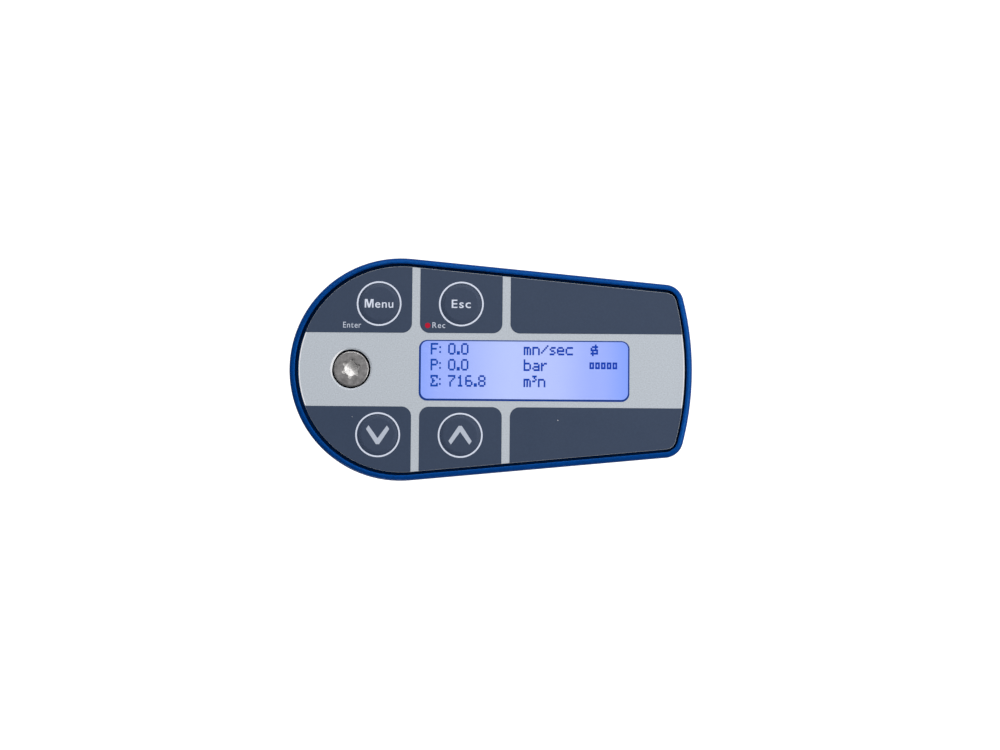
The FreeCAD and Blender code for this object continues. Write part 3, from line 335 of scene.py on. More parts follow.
def scaled_place(tree, size):
    """The place on the surface, counted in steps of a size."""
    return scale(tree, put(tree, "TexCoord").outputs["Object"], maths(tree, "DIVIDE", 1.0, size))


def noise(tree, place, detail=2.0, low=0.0):
    """Soft noise with about one bump to a step, from low to 1."""
    raw = put(tree, "TexNoise", {"Vector": place, "Scale": 1.0, "Detail": detail}).outputs[0]
    return spread(tree, raw, *NOISE_RANGE, low)


def axis_distance(tree, place, axis_x):
    """The distance of a place from an upright axis that stands in the plane of Y = 0."""
    x = maths(tree, "SUBTRACT", place["X"], axis_x)
    squares = [maths(tree, "MULTIPLY", side, side) for side in (x, place["Y"])]
    return maths(tree, "SQRT", maths(tree, "ADD", *squares))


def grain_effect(tree, given):
    height = noise(tree, scaled_place(tree, given["Size"]))
    bright = maths(tree, "SUBTRACT", 1.0, maths(tree, "MULTIPLY", given["Shade"], height))
    return {"Colour": scale(tree, given["Colour"], bright), "Height": height}


def smudge_effect(tree, given):
    swing = noise(tree, scaled_place(tree, given["Size"]), 3.0, -1.0)
    change = maths(tree, "MULTIPLY", swing, given["Spread"])
    return {"Roughness": maths(tree, "ADD", given["Roughness"], change)}


def turning_effect(tree, given):
    """Rings about an upright axis: fine lines that depend on radius and height only."""
    place = place_on(tree)
    across = maths(tree, "DIVIDE", axis_distance(tree, place, given["Axis X"]), given["Pitch"])
    along = maths(tree, "DIVIDE", place["Z"], given["Pitch"])
    spot = put(tree, "CombineXYZ", {"X": across, "Y": along}).outputs[0]
    return {"Height": noise(tree, spot, 3.0)}


def drawing_effect(tree, given):
    """Long lines along Z, as a drawn tube has them."""
    place = place_on(tree)
    spot = {axis: maths(tree, "DIVIDE", place[axis], given["Width"]) for axis in "XY"}
    spot["Z"] = maths(tree, "DIVIDE", place["Z"], given["Length"])
    return {"Height": noise(tree, put(tree, "CombineXYZ", spot).outputs[0])}


def edge_effect(tree, given):
    """Where the surface bends within a width: a mask, and a normal that rounds sharp edges a little.

    Flatten turns that normal upright by a share, for a low emboss whose slopes hardly show.
    """
    rounded = put(tree, "Bevel", {"Radius": given["Width"]}, samples=RAYS).outputs[0]
    flat = put(tree, "NewGeometry").outputs["Normal"]
    alike = put(tree, "VectorMath", {0: rounded, 1: flat}, operation="DOT_PRODUCT").outputs["Value"]
    turned = put(tree, "Mix", {0: given["Flatten"], 4: rounded, 5: UPRIGHT}, data_type="VECTOR")
    normal = put(tree, "VectorMath", {0: turned.outputs[1]}, operation="NORMALIZE").outputs[0]
    return {"Mask": spread(tree, alike, *EDGE_BEND), "Normal": normal}


def gap_shade_effect(tree, given):
    """How open a place is: 1 on a free face, 0 deep in narrow gaps, where shade is painted."""
    reach = put(tree, "AmbientOcclusion", {"Distance": given["Width"]}, samples=RAYS).outputs["AO"]
    return {"Open": spread(tree, reach, *GAP_SHADE_RANGE)}


def speck_effect(tree, given):
    """A mask of sparse round specks of dust: one near the middle of a few of the cells of a size."""
    cells = put(tree, "TexVoronoi", {"Vector": scaled_place(tree, given["Cell"]), "Scale": 1.0}).outputs
    draw = put(tree, "SeparateColor", {0: cells["Color"]}).outputs["Red"]
    chosen = maths(tree, "LESS_THAN", draw, given["Share"])
    near = maths(tree, "LESS_THAN", cells["Distance"], given["Reach"])
    return {"Mask": maths(tree, "MULTIPLY", chosen, near)}


def well_effect(tree, given):
    """Mask of a round hollow for a painted highlight: near an upright axis and below a height."""
    place = place_on(tree)
    near = maths(tree, "LESS_THAN", axis_distance(tree, place, given["Axis X"]), given["Radius"])
    deep = maths(tree, "LESS_THAN", place["Z"], given["Top"])
    return {"Mask": maths(tree, "MULTIPLY", near, deep)}


GRAIN = make_group("Grain", {"Colour": rgba(0.5, 0.5, 0.5), "Shade": 0.1, "Size": MM}, grain_effect)
SMUDGES = make_group("Smudges", {"Roughness": 0.4, "Spread": 0.1, "Size": 10 * MM}, smudge_effect)
TURNING = make_group("Turning marks", {"Axis X": 0.0, "Pitch": 0.1 * MM}, turning_effect)
DRAWING = make_group("Drawing lines", {"Width": 0.1 * MM, "Length": 20 * MM}, drawing_effect)
EDGES = make_group("Edges", {"Width": 0.2 * MM, "Flatten": 0.0}, edge_effect)
GAP_SHADE = make_group("Painted gap shade", {"Width": MM}, gap_shade_effect)
SPECKS = make_group("Specks", {"Cell": 3 * MM, "Reach": 0.05, "Share": 0.1}, speck_effect)
WELL = make_group("Well", {"Axis X": 0.0, "Radius": MM, "Top": 0.0}, well_effect)
print(len(bpy.data.node_groups), "shared effects ready")

# %% [markdown]
# ## One recipe for most finishes
# Most finishes differ only in numbers: a colour with grain, a roughness with smudges, a fine relief and
# softened edges. One function builds that graph, and each finish below calls it with its own values.

# %% A recipe for finishes
# Reach of the painted shade in narrow gaps.
GAP_SHADE_WIDTH = 1.2 * MM


def middle_x(name):
    low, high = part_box(name)
    return (low.x + high.x) / 2


SCREW_X = middle_x("fixing_screw")
SOCKET_X = middle_x("m12_shell")


def finish(name, colour, roughness, metallic=0.0, grain=0.4, shade=0.1, relief=0.004, smudge=0.06,
           patch=9.0, edge=0.15, flatten=0.0, rub_and_highlight=None, marks=None, gap_shade=None, specks=None, well_highlight=None,
           **sockets):
    """A grained, slightly smudged finish, with the sizes of grain, relief, patches and edges in mm.

    edge is the width of softened edges, or None on a sheet too thin for it, and flatten is how far slopes
    are toned down. rub_and_highlight is the lighter colour of edges, partly rubbed wear and partly a
    painted highlight, and gap_shade the colour deep in narrow gaps, which is painted shade. marks gives a
    group of tool marks with its values, specks the colour of dust and the share of cells that have some,
    and well_highlight the radius, top, lighter colour and metallic share of a round hollow, a painted
    highlight in a recess.
    """
    material, tree, shader = new_material(name)
    grained = use_group(tree, GRAIN, {"Colour": rgba(*colour), "Shade": shade, "Size": grain * MM})
    smudged = use_group(tree, SMUDGES, {"Roughness": roughness, "Spread": smudge, "Size": patch * MM})
    base = grained["Colour"]
    relief_sockets = {"Distance": relief * MM}
    if edge is not None:
        edges = use_group(tree, EDGES, {"Width": edge * MM, "Flatten": flatten})
        relief_sockets["Normal"] = edges["Normal"]
    if rub_and_highlight is not None:
        base = blend(tree, edges["Mask"], base, rgba(*rub_and_highlight))
    if gap_shade is not None:
        base = blend(tree, use_group(tree, GAP_SHADE, {"Width": GAP_SHADE_WIDTH})["Open"], rgba(*gap_shade), base)
    if specks is not None:
        dust, share = specks
        base = blend(tree, use_group(tree, SPECKS, {"Share": share})["Mask"], base, rgba(*dust))
    if well_highlight is not None:
        radius, top, highlight_colour, highlight_metallic = well_highlight
        inside = use_group(tree, WELL, {"Axis X": SCREW_X, "Radius": radius, "Top": top})["Mask"]
        base = blend(tree, inside, base, rgba(*highlight_colour))
        metallic = spread(tree, inside, 0.0, 1.0, metallic, highlight_metallic)
    relief_sockets["Height"] = (use_group(tree, *marks) if marks else grained)["Height"]
    bump = put(tree, "Bump", relief_sockets).outputs[0]
    fill(tree, shader, {"Base Color": base, "Metallic": metallic, "Normal": bump})
    fill(tree, shader, {"Roughness": smudged["Roughness"]})
    fill(tree, shader, {socket.replace("_", " "): value for socket, value in sockets.items()})
    return material


print("recipe ready")

# %% [markdown]
# ## Head: paint and films
# The head is a blue painted housing with a matt keypad film. Its colours were read off the photograph and
# set a little darker where the surface also mirrors the studio. The paint has fine grain and lighter edges,
# partly rubbed wear and partly a painted highlight, and its narrow gaps are darkened as painted shade.

# %% Finishes of the head
DUST = (0.42, 0.43, 0.46)
SILVER = {
    "colour": (0.53, 0.575, 0.63),
    "roughness": 0.48,
    "grain": 0.3,
    "shade": 0.20,
    "relief": 0.002,
    "smudge": 0.04,
    "Specular_IOR_Level": 0.35,
}


def ink(name, colour, roughness=0.5, grain=0.12, shade=0.06, **more):
    """Printed ink: too thin for soft edges, and with hardly any relief."""
    return finish(name, colour, roughness, grain=grain, shade=shade, relief=0.001, edge=None, **more)


# Blue paint: lighter edges that are partly rubbed wear and partly a painted highlight on the rim, and
# near-black painted shade deep in narrow gaps.
finish("Blue paint", (0.001, 0.051, 0.265), 0.34, grain=0.35, shade=0.30, relief=0.008,
       rub_and_highlight=(0.010, 0.10, 0.36), gap_shade=(0.0, 0.001, 0.012), Specular_IOR_Level=0.35,
       Specular_Tint=rgba(0.05, 0.40, 1.0))
finish("Silver film", **SILVER)
finish("Key film", (0.043, 0.062, 0.108), 0.45, grain=0.5, relief=0.002, smudge=0.05,
       edge=0.4, flatten=0.55, specks=(DUST, 0.05), Specular_IOR_Level=0.22)
silver_ink = finish("Silver ink", edge=None, **SILVER)
slate_ink = finish("Slate ink", (0.032, 0.052, 0.098), 0.50, grain=0.5, relief=0.002,
                   smudge=0.05, edge=None, specks=(DUST, 0.07), Specular_IOR_Level=0.35)
# White of the film's cut edge; the same white is a painted highlight beside the screw's hole.
cut_edge_and_highlight = finish("Cut film edge", (0.86, 0.87, 0.90), 0.35, grain=0.2, relief=0.002, edge=None)
pale_ink = ink("Pale ink", (0.68, 0.73, 0.86))
small_ink = ink("Small pale ink", (0.56, 0.61, 0.72))
chevron_ink = ink("Chevron ink", (0.48, 0.53, 0.63), shade=0.10)
red_ink = ink("Red ink", (0.48, 0.001, 0.026), 0.45, 0.15, 0.12, Specular_IOR_Level=0.25)
# The navy line round the window is partly a printed border and partly painted shade of its recessed edge; its
# emission is a painted glow.
navy_line_and_shade = ink("Navy window line", (0.004, 0.02, 0.14), 0.4, 0.2, 0.2, Specular_IOR_Level=0.2,
                Emission_Color=rgba(0.0, 0.02, 0.115), Emission_Strength=1.0)
print("head finishes ready")

# %% [markdown]
# ## Plastics, rubber and boards
# Most of these lie inside the head and show only when it is taken apart. Moulded plastic has a fine spark
# texture, rubber is dull with a dusty bloom, and a circuit board has copper lines under its green mask.

# %% Finishes of the inner parts
# Colour, roughness, grain in mm, shade and relief in mm.
INNER_FINISHES = {
    "Black plastic": ((0.018, 0.018, 0.020), 0.45, 0.25, 0.30, 0.006),
    "Gasket rubber": ((0.020, 0.020, 0.021), 0.72, 0.50, 0.40, 0.010),
    "Cable jacket": ((0.05, 0.05, 0.055), 0.60, 0.30, 0.30, 0.006),
    "Chip body": ((0.028, 0.028, 0.030), 0.55, 0.15, 0.30, 0.004),
    "Ceramic header": ((0.72, 0.70, 0.66), 0.38, 0.30, 0.12, 0.003),
    "Spacer film": ((0.50, 0.50, 0.47), 0.50, 0.40, 0.15, 0.002),
    "Light guide": ((0.80, 0.83, 0.90), 0.30, 0.50, 0.08, 0.004),
}
for name, (colour, roughness, grain, shade, relief) in INNER_FINISHES.items():
    finish(name, colour, roughness, grain=grain, shade=shade, relief=relief)

TRACK_PITCH = 1.1 * MM
TRACK_EDGES = (0.45, 0.53)
TRACK_RISE = 0.02 * MM
WANDER_SIZE = 12 * MM
WANDER_REACH = 6.0
MASK_GRAIN = {"Shade": 0.2, "Size": 0.4 * MM}


def tracked(name, mask_colour, track_colour, roughness):
    """A board or film with lines of conductor that show through its mask."""
    _, tree, shader = new_material(name)
    place = put(tree, "SeparateXYZ", {0: scaled_place(tree, TRACK_PITCH)}).outputs
    wander = put(tree, "TexNoise", {"Vector": scaled_place(tree, WANDER_SIZE), "Scale": 1.0}).outputs[0]
    winding = maths(tree, "ADD", place["Y"], maths(tree, "MULTIPLY", wander, WANDER_REACH))
    mask = spread(tree, maths(tree, "PINGPONG", winding, 1.0), *TRACK_EDGES)
    grained = use_group(tree, GRAIN, {"Colour": rgba(*mask_colour), **MASK_GRAIN})
    colour = blend(tree, mask, grained["Colour"], rgba(*track_colour))
    bump = put(tree, "Bump", {"Height": mask, "Distance": TRACK_RISE}).outputs[0]
    fill(tree, shader, {"Base Color": colour, "Normal": bump, "Roughness": roughness})


tracked("Circuit board", (0.006, 0.07, 0.025), (0.012, 0.13, 0.045), 0.35)
tracked("Circuit film", (0.45, 0.46, 0.44), (0.62, 0.62, 0.60), 0.4)
print("inner finishes ready")

# %% [markdown]
# ## Metals
# Turned pieces show rings round their axis, the drawn tube shows lines along it. The rings differ from a
# brushed sheet, so they are worked out from the distance to the axis and the height.

# %% Finishes of the metal parts
STEEL = (0.58, 0.57, 0.55)
# Painted highlight in the screw's recess: radius, top, lighter colour and metallic share.
SCREW_RECESS_HIGHLIGHT = (2.5 * MM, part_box("fixing_screw")[1].z - 0.05 * MM, (0.68, 0.67, 0.66), 0.4)
finish("Turned stainless", STEEL, 0.34, 1.0, shade=0.06, relief=0.003, smudge=0.05,
       rub_and_highlight=(0.72, 0.71, 0.70), marks=(TURNING, {"Pitch": 0.25 * MM}))
finish("Drawn stainless", STEEL, 0.33, 1.0, shade=0.05, relief=0.002, smudge=0.045,
       marks=(DRAWING, {"Width": 0.3 * MM, "Length": 25 * MM}))
finish("Screw steel", (0.42, 0.41, 0.41), 0.42, 1.0, grain=0.5, shade=0.30, relief=0.01,
       smudge=0.1, patch=1.5, well_highlight=SCREW_RECESS_HIGHLIGHT)
finish("Nickel plate", (0.62, 0.59, 0.54), 0.33, 1.0, shade=0.05, relief=0.003, smudge=0.045,
       rub_and_highlight=(0.75, 0.72, 0.66), marks=(TURNING, {"Axis X": SOCKET_X, "Pitch": 0.2 * MM}))
finish("Ferrule metal", (0.60, 0.44, 0.22), 0.34, 1.0, relief=0.003, smudge=0.05,
       marks=(TURNING, {"Pitch": 0.2 * MM}))
finish("Gold contact", (0.80, 0.58, 0.24), 0.2, 1.0, grain=0.2, relief=0.002)
finish("Anodised base", (0.44, 0.45, 0.47), 0.42, 1.0, grain=0.18, shade=0.12, relief=0.006,
       smudge=0.08, rub_and_highlight=(0.60, 0.61, 0.63))
dome_steel = finish("Dome steel", (0.60, 0.60, 0.60), 0.25, 1.0, grain=0.3, shade=0.08, relief=0.002)
print("metal finishes ready")

# %% [markdown]
# ## Screen glass and back light
# The screen is lit from behind, brightest in the middle and bluer at both ends. So its face gives out
# light, coloured by a ramp along X, with a faint grid of cells. The clear window above it keeps a plain
# transmission, and its coat mirrors less than bare glass, so its index of refraction is set lower.

# %% Finishes of the screen
window_low, window_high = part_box("display_window")
panel_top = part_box("lcd_panel")[1].z
DOT_PITCH = 0.358 * MM
GRID_WIDTH = 0.25
GRID_DIM = 0.96
GLOW_STOPS = (
    (0.00, (0.282, 0.402, 0.99)),
    (0.12, (0.362, 0.462, 0.99)),
    (0.45, (0.502, 0.592, 1.0)),
    (0.62, (0.492, 0.577, 1.0)),
    (0.85, (0.362, 0.462, 1.0)),
    (1.00, (0.252, 0.382, 1.0)),
)
INK_LEFT = rgba(0.0, 0.068, 0.45)
INK_RIGHT = rgba(0.0, 0.045, 0.48)


def along_window(tree):
    """0 at the window's left end, 1 at its right."""
    return spread(tree, place_on(tree)["X"], window_low.x, window_high.x)


def make_lit(tree, shader, glow, base, specular):
    """Let a dark surface give out light of a colour."""
    fill(tree, shader, {"Emission Color": glow, "Emission Strength": 1.0, "Base Color": rgba(*base)})
    fill(tree, shader, {"Roughness": 0.5, "Specular IOR Level": specular})


def lit_screen():
    _, tree, shader = new_material("Lit screen")
    ramp = put(tree, "ValToRGB", {0: along_window(tree)})
    ramp.color_ramp.interpolation = "EASE"
    stops = ramp.color_ramp.elements
    while len(stops) < len(GLOW_STOPS):
        stops.new(0.5)
    for stop, (spot, colour) in zip(stops, GLOW_STOPS):
        stop.position = spot
        stop.color = rgba(*colour)
    cell = put(tree, "SeparateXYZ", {0: scaled_place(tree, DOT_PITCH / 2)}).outputs
    grid = maths(tree, "MINIMUM", *[maths(tree, "PINGPONG", cell[axis], 1.0) for axis in "XY"])
    glow = scale(tree, ramp.outputs[0], spread(tree, grid, 0.0, GRID_WIDTH, GRID_DIM))
    make_lit(tree, shader, glow, (0.012, 0.016, 0.04), 0.2)


def clear_glass():
    _, tree, shader = new_material("Clear window")
    smudged = use_group(tree, SMUDGES, {"Roughness": 0.012, "Spread": 0.010, "Size": 8 * MM})
    fill(tree, shader, {"Roughness": smudged["Roughness"], "Base Color": rgba(0.97, 0.98, 1.0)})
    fill(tree, shader, {"Transmission Weight": 1.0, "IOR": 1.3})


def dark_dots():
    """Switched-on cells: blue ink that a little of the back light comes through, deeper to the right."""
    material, tree, shader = new_material("Screen dots")
    blue = blend(tree, along_window(tree), INK_LEFT, INK_RIGHT)
    grained = use_group(tree, GRAIN, {"Colour": blue, "Shade": 0.2, "Size": 0.3 * MM})
    make_lit(tree, shader, grained["Colour"], (0.0, 0.004, 0.03), 0.0)
    return material


lit_screen()
clear_glass()
screen_dots = dark_dots()
print("screen finishes ready")

# %% [markdown]
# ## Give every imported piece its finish
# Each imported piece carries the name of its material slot, and most finishes have the same name. Two small
# tables give the finishes that are named otherwise and the pieces that differ from the rest of their slot.

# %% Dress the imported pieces
SLOT_FINISH = {
    "overlay_film": "Silver film",
    "lcd_face": "Lit screen",
    "stainless": "Turned stainless",
    "contact_metal": "Gold contact",
}
NODE_FINISH = {"probe_tube": "Drawn stainless"}

for name, node in nodes.items():
    slot = node.data.materials[0].name
    usual = SLOT_FINISH.get(slot, slot.replace("_", " ").capitalize())
    node.data.materials[0] = bpy.data.materials[NODE_FINISH.get(name, usual)]
print(len(nodes), "pieces dressed")

# %% [markdown]
# ## Outline of the keypad film
# The film has the head's teardrop outline, moved in: a round end about the probe axis, straight sides that
# taper, two small tail corners and a tail arc about the same axis. The print is cut from the same outline,
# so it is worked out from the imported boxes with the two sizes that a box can't tell.

# %% Outlines as lists of points
SIDE_TAPER = math.radians(5.5)
TAIL_CORNER = 4.75 * MM
ARC_STEP = math.radians(2.0)
CORNER_STEPS = 12
housing_low, housing_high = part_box("display_housing")
film_low, film_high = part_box("keypad_overlay")
HEAD_RADIUS = -housing_low.x
TAIL_REACH = housing_high.x
left_gap = film_low.x - housing_low.x
right_gap = housing_high.x - film_high.x
FILM_INSET = (left_gap + right_gap) / 2
FILM_SHIFT = (left_gap - right_gap) / 2


def arc(x, y, radius, start, end):
    """Points of an arc, both ends included."""
    count = max(2, math.ceil(abs(end - start) / ARC_STEP) + 1)
    angles = [start + (end - start) * number / (count - 1) for number in range(count)]
    return [(x + radius * math.cos(angle), y + radius * math.sin(angle)) for angle in angles]


def circle(x, y, radius):
    return arc(x, y, radius, 0.0, 2 * math.pi)[:-1]


def teardrop(inset, shift):
    """The head's outline moved in by inset and along X by shift, counter-clockwise."""
    head, tail, corner = HEAD_RADIUS - inset, TAIL_REACH - inset, TAIL_CORNER - inset
    side = math.pi / 2 - SIDE_TAPER
    along = math.sqrt((tail - corner) ** 2 - (head - corner) ** 2)
    x = (head - corner) * math.sin(SIDE_TAPER) + along * math.cos(SIDE_TAPER)
    y = (head - corner) * math.cos(SIDE_TAPER) - along * math.sin(SIDE_TAPER)
    swing = math.atan2(y, x)
    loop = arc(shift, 0, head, side, 2 * math.pi - side)
    loop += arc(shift + x, -y, corner, -side, -swing)
    loop += arc(shift, 0, tail, -swing, swing)[1:-1]
    loop += arc(shift + x, y, corner, swing, side)
    return loop


def rounded_box(left, right, bottom, top, radius):
    loop = arc(right - radius, top - radius, radius, 0.0, math.pi / 2)
    loop += arc(left + radius, top - radius, radius, math.pi / 2, math.pi)
    loop += arc(left + radius, bottom + radius, radius, math.pi, 1.5 * math.pi)
    loop += arc(right - radius, bottom + radius, radius, 1.5 * math.pi, 2 * math.pi)
    return loop


def clip(loop, axis, limit, side):
    """Keep the part of a loop on one side of a straight line across an axis."""
    kept = []
    for here, after in zip(loop, loop[1:] + loop[:1]):
        now = (here[axis] - limit) * side
        then = (after[axis] - limit) * side
        if now >= 0:
            kept.append(here)
        if now * then < 0:
            share = now / (now - then)
            kept.append(tuple(a + share * (b - a) for a, b in zip(here, after)))
    return kept


def soften(loop, corner, radius):
    """Replace the loop's square corner nearest to a place by an arc."""
    spot = min(range(len(loop)), key=lambda number: math.dist(loop[number], corner))
    tip = Vector(loop[spot])
    before = (Vector(loop[spot - 1]) - tip).normalized()
    after = (Vector(loop[(spot + 1) % len(loop)]) - tip).normalized()
    centre = tip + (before + after) * radius
    angles = [math.pi / 2 * number / CORNER_STEPS for number in range(CORNER_STEPS + 1)]
    bend = [centre - radius * (after * math.cos(a) + before * math.sin(a)) for a in angles]
    return loop[:spot] + [tuple(point) for point in bend] + loop[spot + 1:]


print(f"film inset {FILM_INSET / MM:.2f} mm, shift {FILM_SHIFT / MM:.2f} mm")

# %% [markdown]
# ## Print as thin layers
# Ink could be painted by a material, but then its edges would blur when the model is baked. Here each
# printed field is a thin closed sheet on the film, as screen print really is. Loops inside a loop become
# holes when the flat outline is filled; the filled sheet is then pulled up by the ink's thickness.

# %% Helpers for printed sheets
INK = 0.03 * MM


def add_piece(name, mesh, material, body):
    """Put a mesh in the scene as a piece that moves with a body."""
    piece = add_object(name, mesh)
    mesh.materials.append(material)
    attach(piece, body)
    return piece


def to_mesh(name, sketch):
    """A mesh from a sketch, which is used up."""
    mesh = bpy.data.meshes.new(name)
    sketch.to_mesh(mesh)
    sketch.free()
    return mesh


def sheet_mesh(name, loops, bottom, thickness):
    """A closed flat sheet from its outlines; a loop inside another is a hole."""
    sketch = bmesh.new()
    edges = []
    for loop in loops:
        corners = [sketch.verts.new((x, y, bottom)) for x, y in loop]
        edges += [sketch.edges.new(pair) for pair in zip(corners, corners[1:] + corners[:1])]
    bmesh.ops.triangle_fill(sketch, use_beauty=True, edges=edges)
    pulled = bmesh.ops.extrude_face_region(sketch, geom=sketch.faces[:])["geom"]
    top = [part for part in pulled if isinstance(part, bmesh.types.BMVert)]
    bmesh.ops.translate(sketch, verts=top, vec=(0, 0, thickness))
    bmesh.ops.recalc_face_normals(sketch, faces=sketch.faces[:])
    return to_mesh(name, sketch)


def printed(name, loops, bottom, material, body="meter", slot="overlay_film", thickness=INK):
    return add_piece(name, sheet_mesh(name, loops, bottom, thickness), material, body)


print("print helpers ready")

# %% [markdown]
# ## Dark panels and the film's cut edge
# Two bars and a wide band of bare silver leave six slate panels with round inner corners. Each is the
# film's outline, clipped by straight lines, with a hole where a key comes through that reaches just over
# the key's gap. At both ends of the bare band the film's cut edge shows as a white line. A white crescent
# at the left of the screw's hole is a painted highlight, where the edge of the film's hole catches the
# light.

# %% Six panels and the cut edge
BAND_HALF = 9.155 * MM
BAND_MIDDLE = -0.1 * MM
BAR_WIDTH = 2.0 * MM
BAR_PLACES = (3.77 * MM, 26.25 * MM)
PANEL_CORNER = 2.4 * MM
INK_MARGIN = 0.05 * MM
EDGE_WIDTH = 0.24 * MM
KEY_COVER = 0.02 * MM
FILM_TOP = film_high.z

KEYS = {}
for name in ("menu", "escape", "down", "up"):
    low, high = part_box(f"key_{name}")
    KEYS[name] = ((low.x + high.x) / 2, (low.y + high.y) / 2, (high.x - low.x) / 2, high.z)

bar_sides = [place + side * BAR_WIDTH / 2 for place in BAR_PLACES for side in (-1, 1)]
COLUMNS = {"head": (None, bar_sides[0]), "middle": bar_sides[1:3], "tail": (bar_sides[3], None)}


def panel_loops(left, right, side):
    loop = teardrop(FILM_INSET + INK_MARGIN, FILM_SHIFT)
    band_edge = BAND_MIDDLE + side * BAND_HALF
    loop = clip(loop, 1, band_edge, side)
    for limit, keep in ((left, 1), (right, -1)):
        if limit is not None:
            loop = clip(loop, 0, limit, keep)
    for limit in (left, right):
        if limit is not None:
            loop = soften(loop, (limit, band_edge), PANEL_CORNER)
    loops = [loop]
    for x, y, radius, _ in KEYS.values():
        beside = (left is None or x > left) and (right is None or x < right)
        if beside and y * side > 0:
            loops.append(circle(x, y, radius + KEY_COVER))
    return loops


for column, (left, right) in COLUMNS.items():
    for row, side in (("upper", 1), ("lower", -1)):
        printed(f"panel_{row}_{column}", panel_loops(left, right, side), FILM_TOP, slate_ink)


def edge_loop(radius, middle):
    """A narrow curved strip along one end of the bare band, inside an arc about the probe axis."""
    swing = math.asin(BAND_HALF / radius)
    outer = arc(FILM_SHIFT, 0, radius, middle - swing, middle + swing)
    inner = arc(FILM_SHIFT, 0, radius - EDGE_WIDTH, middle + swing, middle - swing)
    return outer + inner


for end, reach, middle in (("head", HEAD_RADIUS, math.pi), ("tail", TAIL_REACH, 0.0)):
    printed(f"film_edge_{end}", [edge_loop(reach - FILM_INSET - INK_MARGIN, middle)], FILM_TOP, cut_edge_and_highlight)

HIGHLIGHT_OUTER = 5.15 * MM
HIGHLIGHT_INNER = 4.6 * MM
HIGHLIGHT_MIDDLE = math.radians(162.0)
HIGHLIGHT_SWING = math.radians(58.0)


def highlight_crescent_loop():
    """A painted highlight: a crescent beside the screw's hole,
    between an arc about the screw and one off centre.
    """
    tip = HIGHLIGHT_OUTER * math.cos(HIGHLIGHT_SWING)
    shift = (HIGHLIGHT_OUTER ** 2 - HIGHLIGHT_INNER ** 2) / (2 * (HIGHLIGHT_INNER - tip))
    off_centre_radius = HIGHLIGHT_INNER + shift
    swing = math.asin(HIGHLIGHT_OUTER * math.sin(HIGHLIGHT_SWING) / off_centre_radius)
    outer = arc(SCREW_X, 0, HIGHLIGHT_OUTER, HIGHLIGHT_MIDDLE - HIGHLIGHT_SWING, HIGHLIGHT_MIDDLE + HIGHLIGHT_SWING)
    x = SCREW_X - shift * math.cos(HIGHLIGHT_MIDDLE)
    y = -shift * math.sin(HIGHLIGHT_MIDDLE)
    inner = arc(x, y, off_centre_radius, HIGHLIGHT_MIDDLE + swing, HIGHLIGHT_MIDDLE - swing)
    return outer + inner[1:-1]


# The crescent is a painted highlight where the edge of the film's hole catches the light.
printed("film_lip_highlight", [highlight_crescent_loop()], FILM_TOP, cut_edge_and_highlight)
print("panels printed:", len(COLUMNS) * 2)

# %% [markdown]
# ## Key rings and legends
# A pale ring is printed round each key, on the film. The legends sit on the keys themselves, so they ride
# on the keys' own bodies and go down with them. The letters come from Blender's built-in font, set one by
# one and stretched to the size that the print has on the film. Its M stands with spread legs, so an upright
# one is drawn from its corners, and so are the chevrons.

# %% Rings, words, chevrons and the red dot
RING_INNER = 5.17 * MM
RING_OUTER = 5.56 * MM

for name, (x, y, _, _) in KEYS.items():
    loops = [circle(x, y, RING_OUTER), circle(x, y, RING_INNER)]
    printed(f"ring_{name}", loops, FILM_TOP + INK, pale_ink)


def turn(loop):
    """Twice the area inside a loop: above zero where it runs counter-clockwise."""
    return sum(here.cross(after) for here, after in zip(loop, loop[1:] + loop[:1]))


SHORTEST_STEP = 0.004
LEAST_SHARE = 0.5
CAP_HEIGHT = 0.73
M_RIGHT = ((0.585, 0.0), (0.805, 0.79), (0.805, 0.0), (0.97, 0.0), (0.97, 1.0), (0.67, 1.0))
M_VALLEY = (0.485, 0.32)


def upright_m():
    """Outline of a capital M with upright legs, counter-clockwise, in shares of its height."""
    left = [(2 * M_VALLEY[0] - x, y) for x, y in reversed(M_RIGHT)]
    return [Vector(corner) * CAP_HEIGHT for corner in (*M_RIGHT, M_VALLEY, *left)]


def letter_loops(letter):
    """Outlines of a letter of the built-in font, with no tiny steps and with the ink on their left side."""
    curve = bpy.data.curves.new("lettering", "FONT")
    curve.body = letter
    curve.fill_mode = "NONE"
    letters = bpy.data.objects.new("lettering", curve)
    wire = bpy.data.meshes.new_from_object(letters)
    bpy.data.objects.remove(letters)
    linked = {tuple(sorted(edge.vertices)) for edge in wire.edges}
    loops = [[]]
    for number, vertex in enumerate(wire.vertices):
        spot = vertex.co.to_2d()
        if not loops[-1] or (spot - loops[-1][-1]).length > SHORTEST_STEP:
            loops[-1].append(spot)
        if (number, number + 1) not in linked:
            loops.append([])
    loops.pop()
    largest = max(map(turn, loops), key=abs)
    return loops if largest > 0 else [loop[::-1] for loop in loops]


def thicken(loop, weight):
    """Move each corner of a letter's outline outwards, so that its strokes get wider."""
    moved = []
    for before, here, after in zip(loop[-1:] + loop[:-1], loop, loop[1:] + loop[:1]):
        come = (here - before).normalized()
        go = (after - here).normalized()
        out = Vector((come.y + go.y, -come.x - go.x)).normalized()
        reach = weight / max(LEAST_SHARE, out.dot(Vector((go.y, -go.x))))
        moved.append(here + out * reach)
    return moved


def extent(loops, axis):
    """Lowest and highest place of some loops along an axis."""
    places = [spot[axis] for loop in loops for spot in loop]
    return min(places), max(places)


LETTER_GAP = 0.13


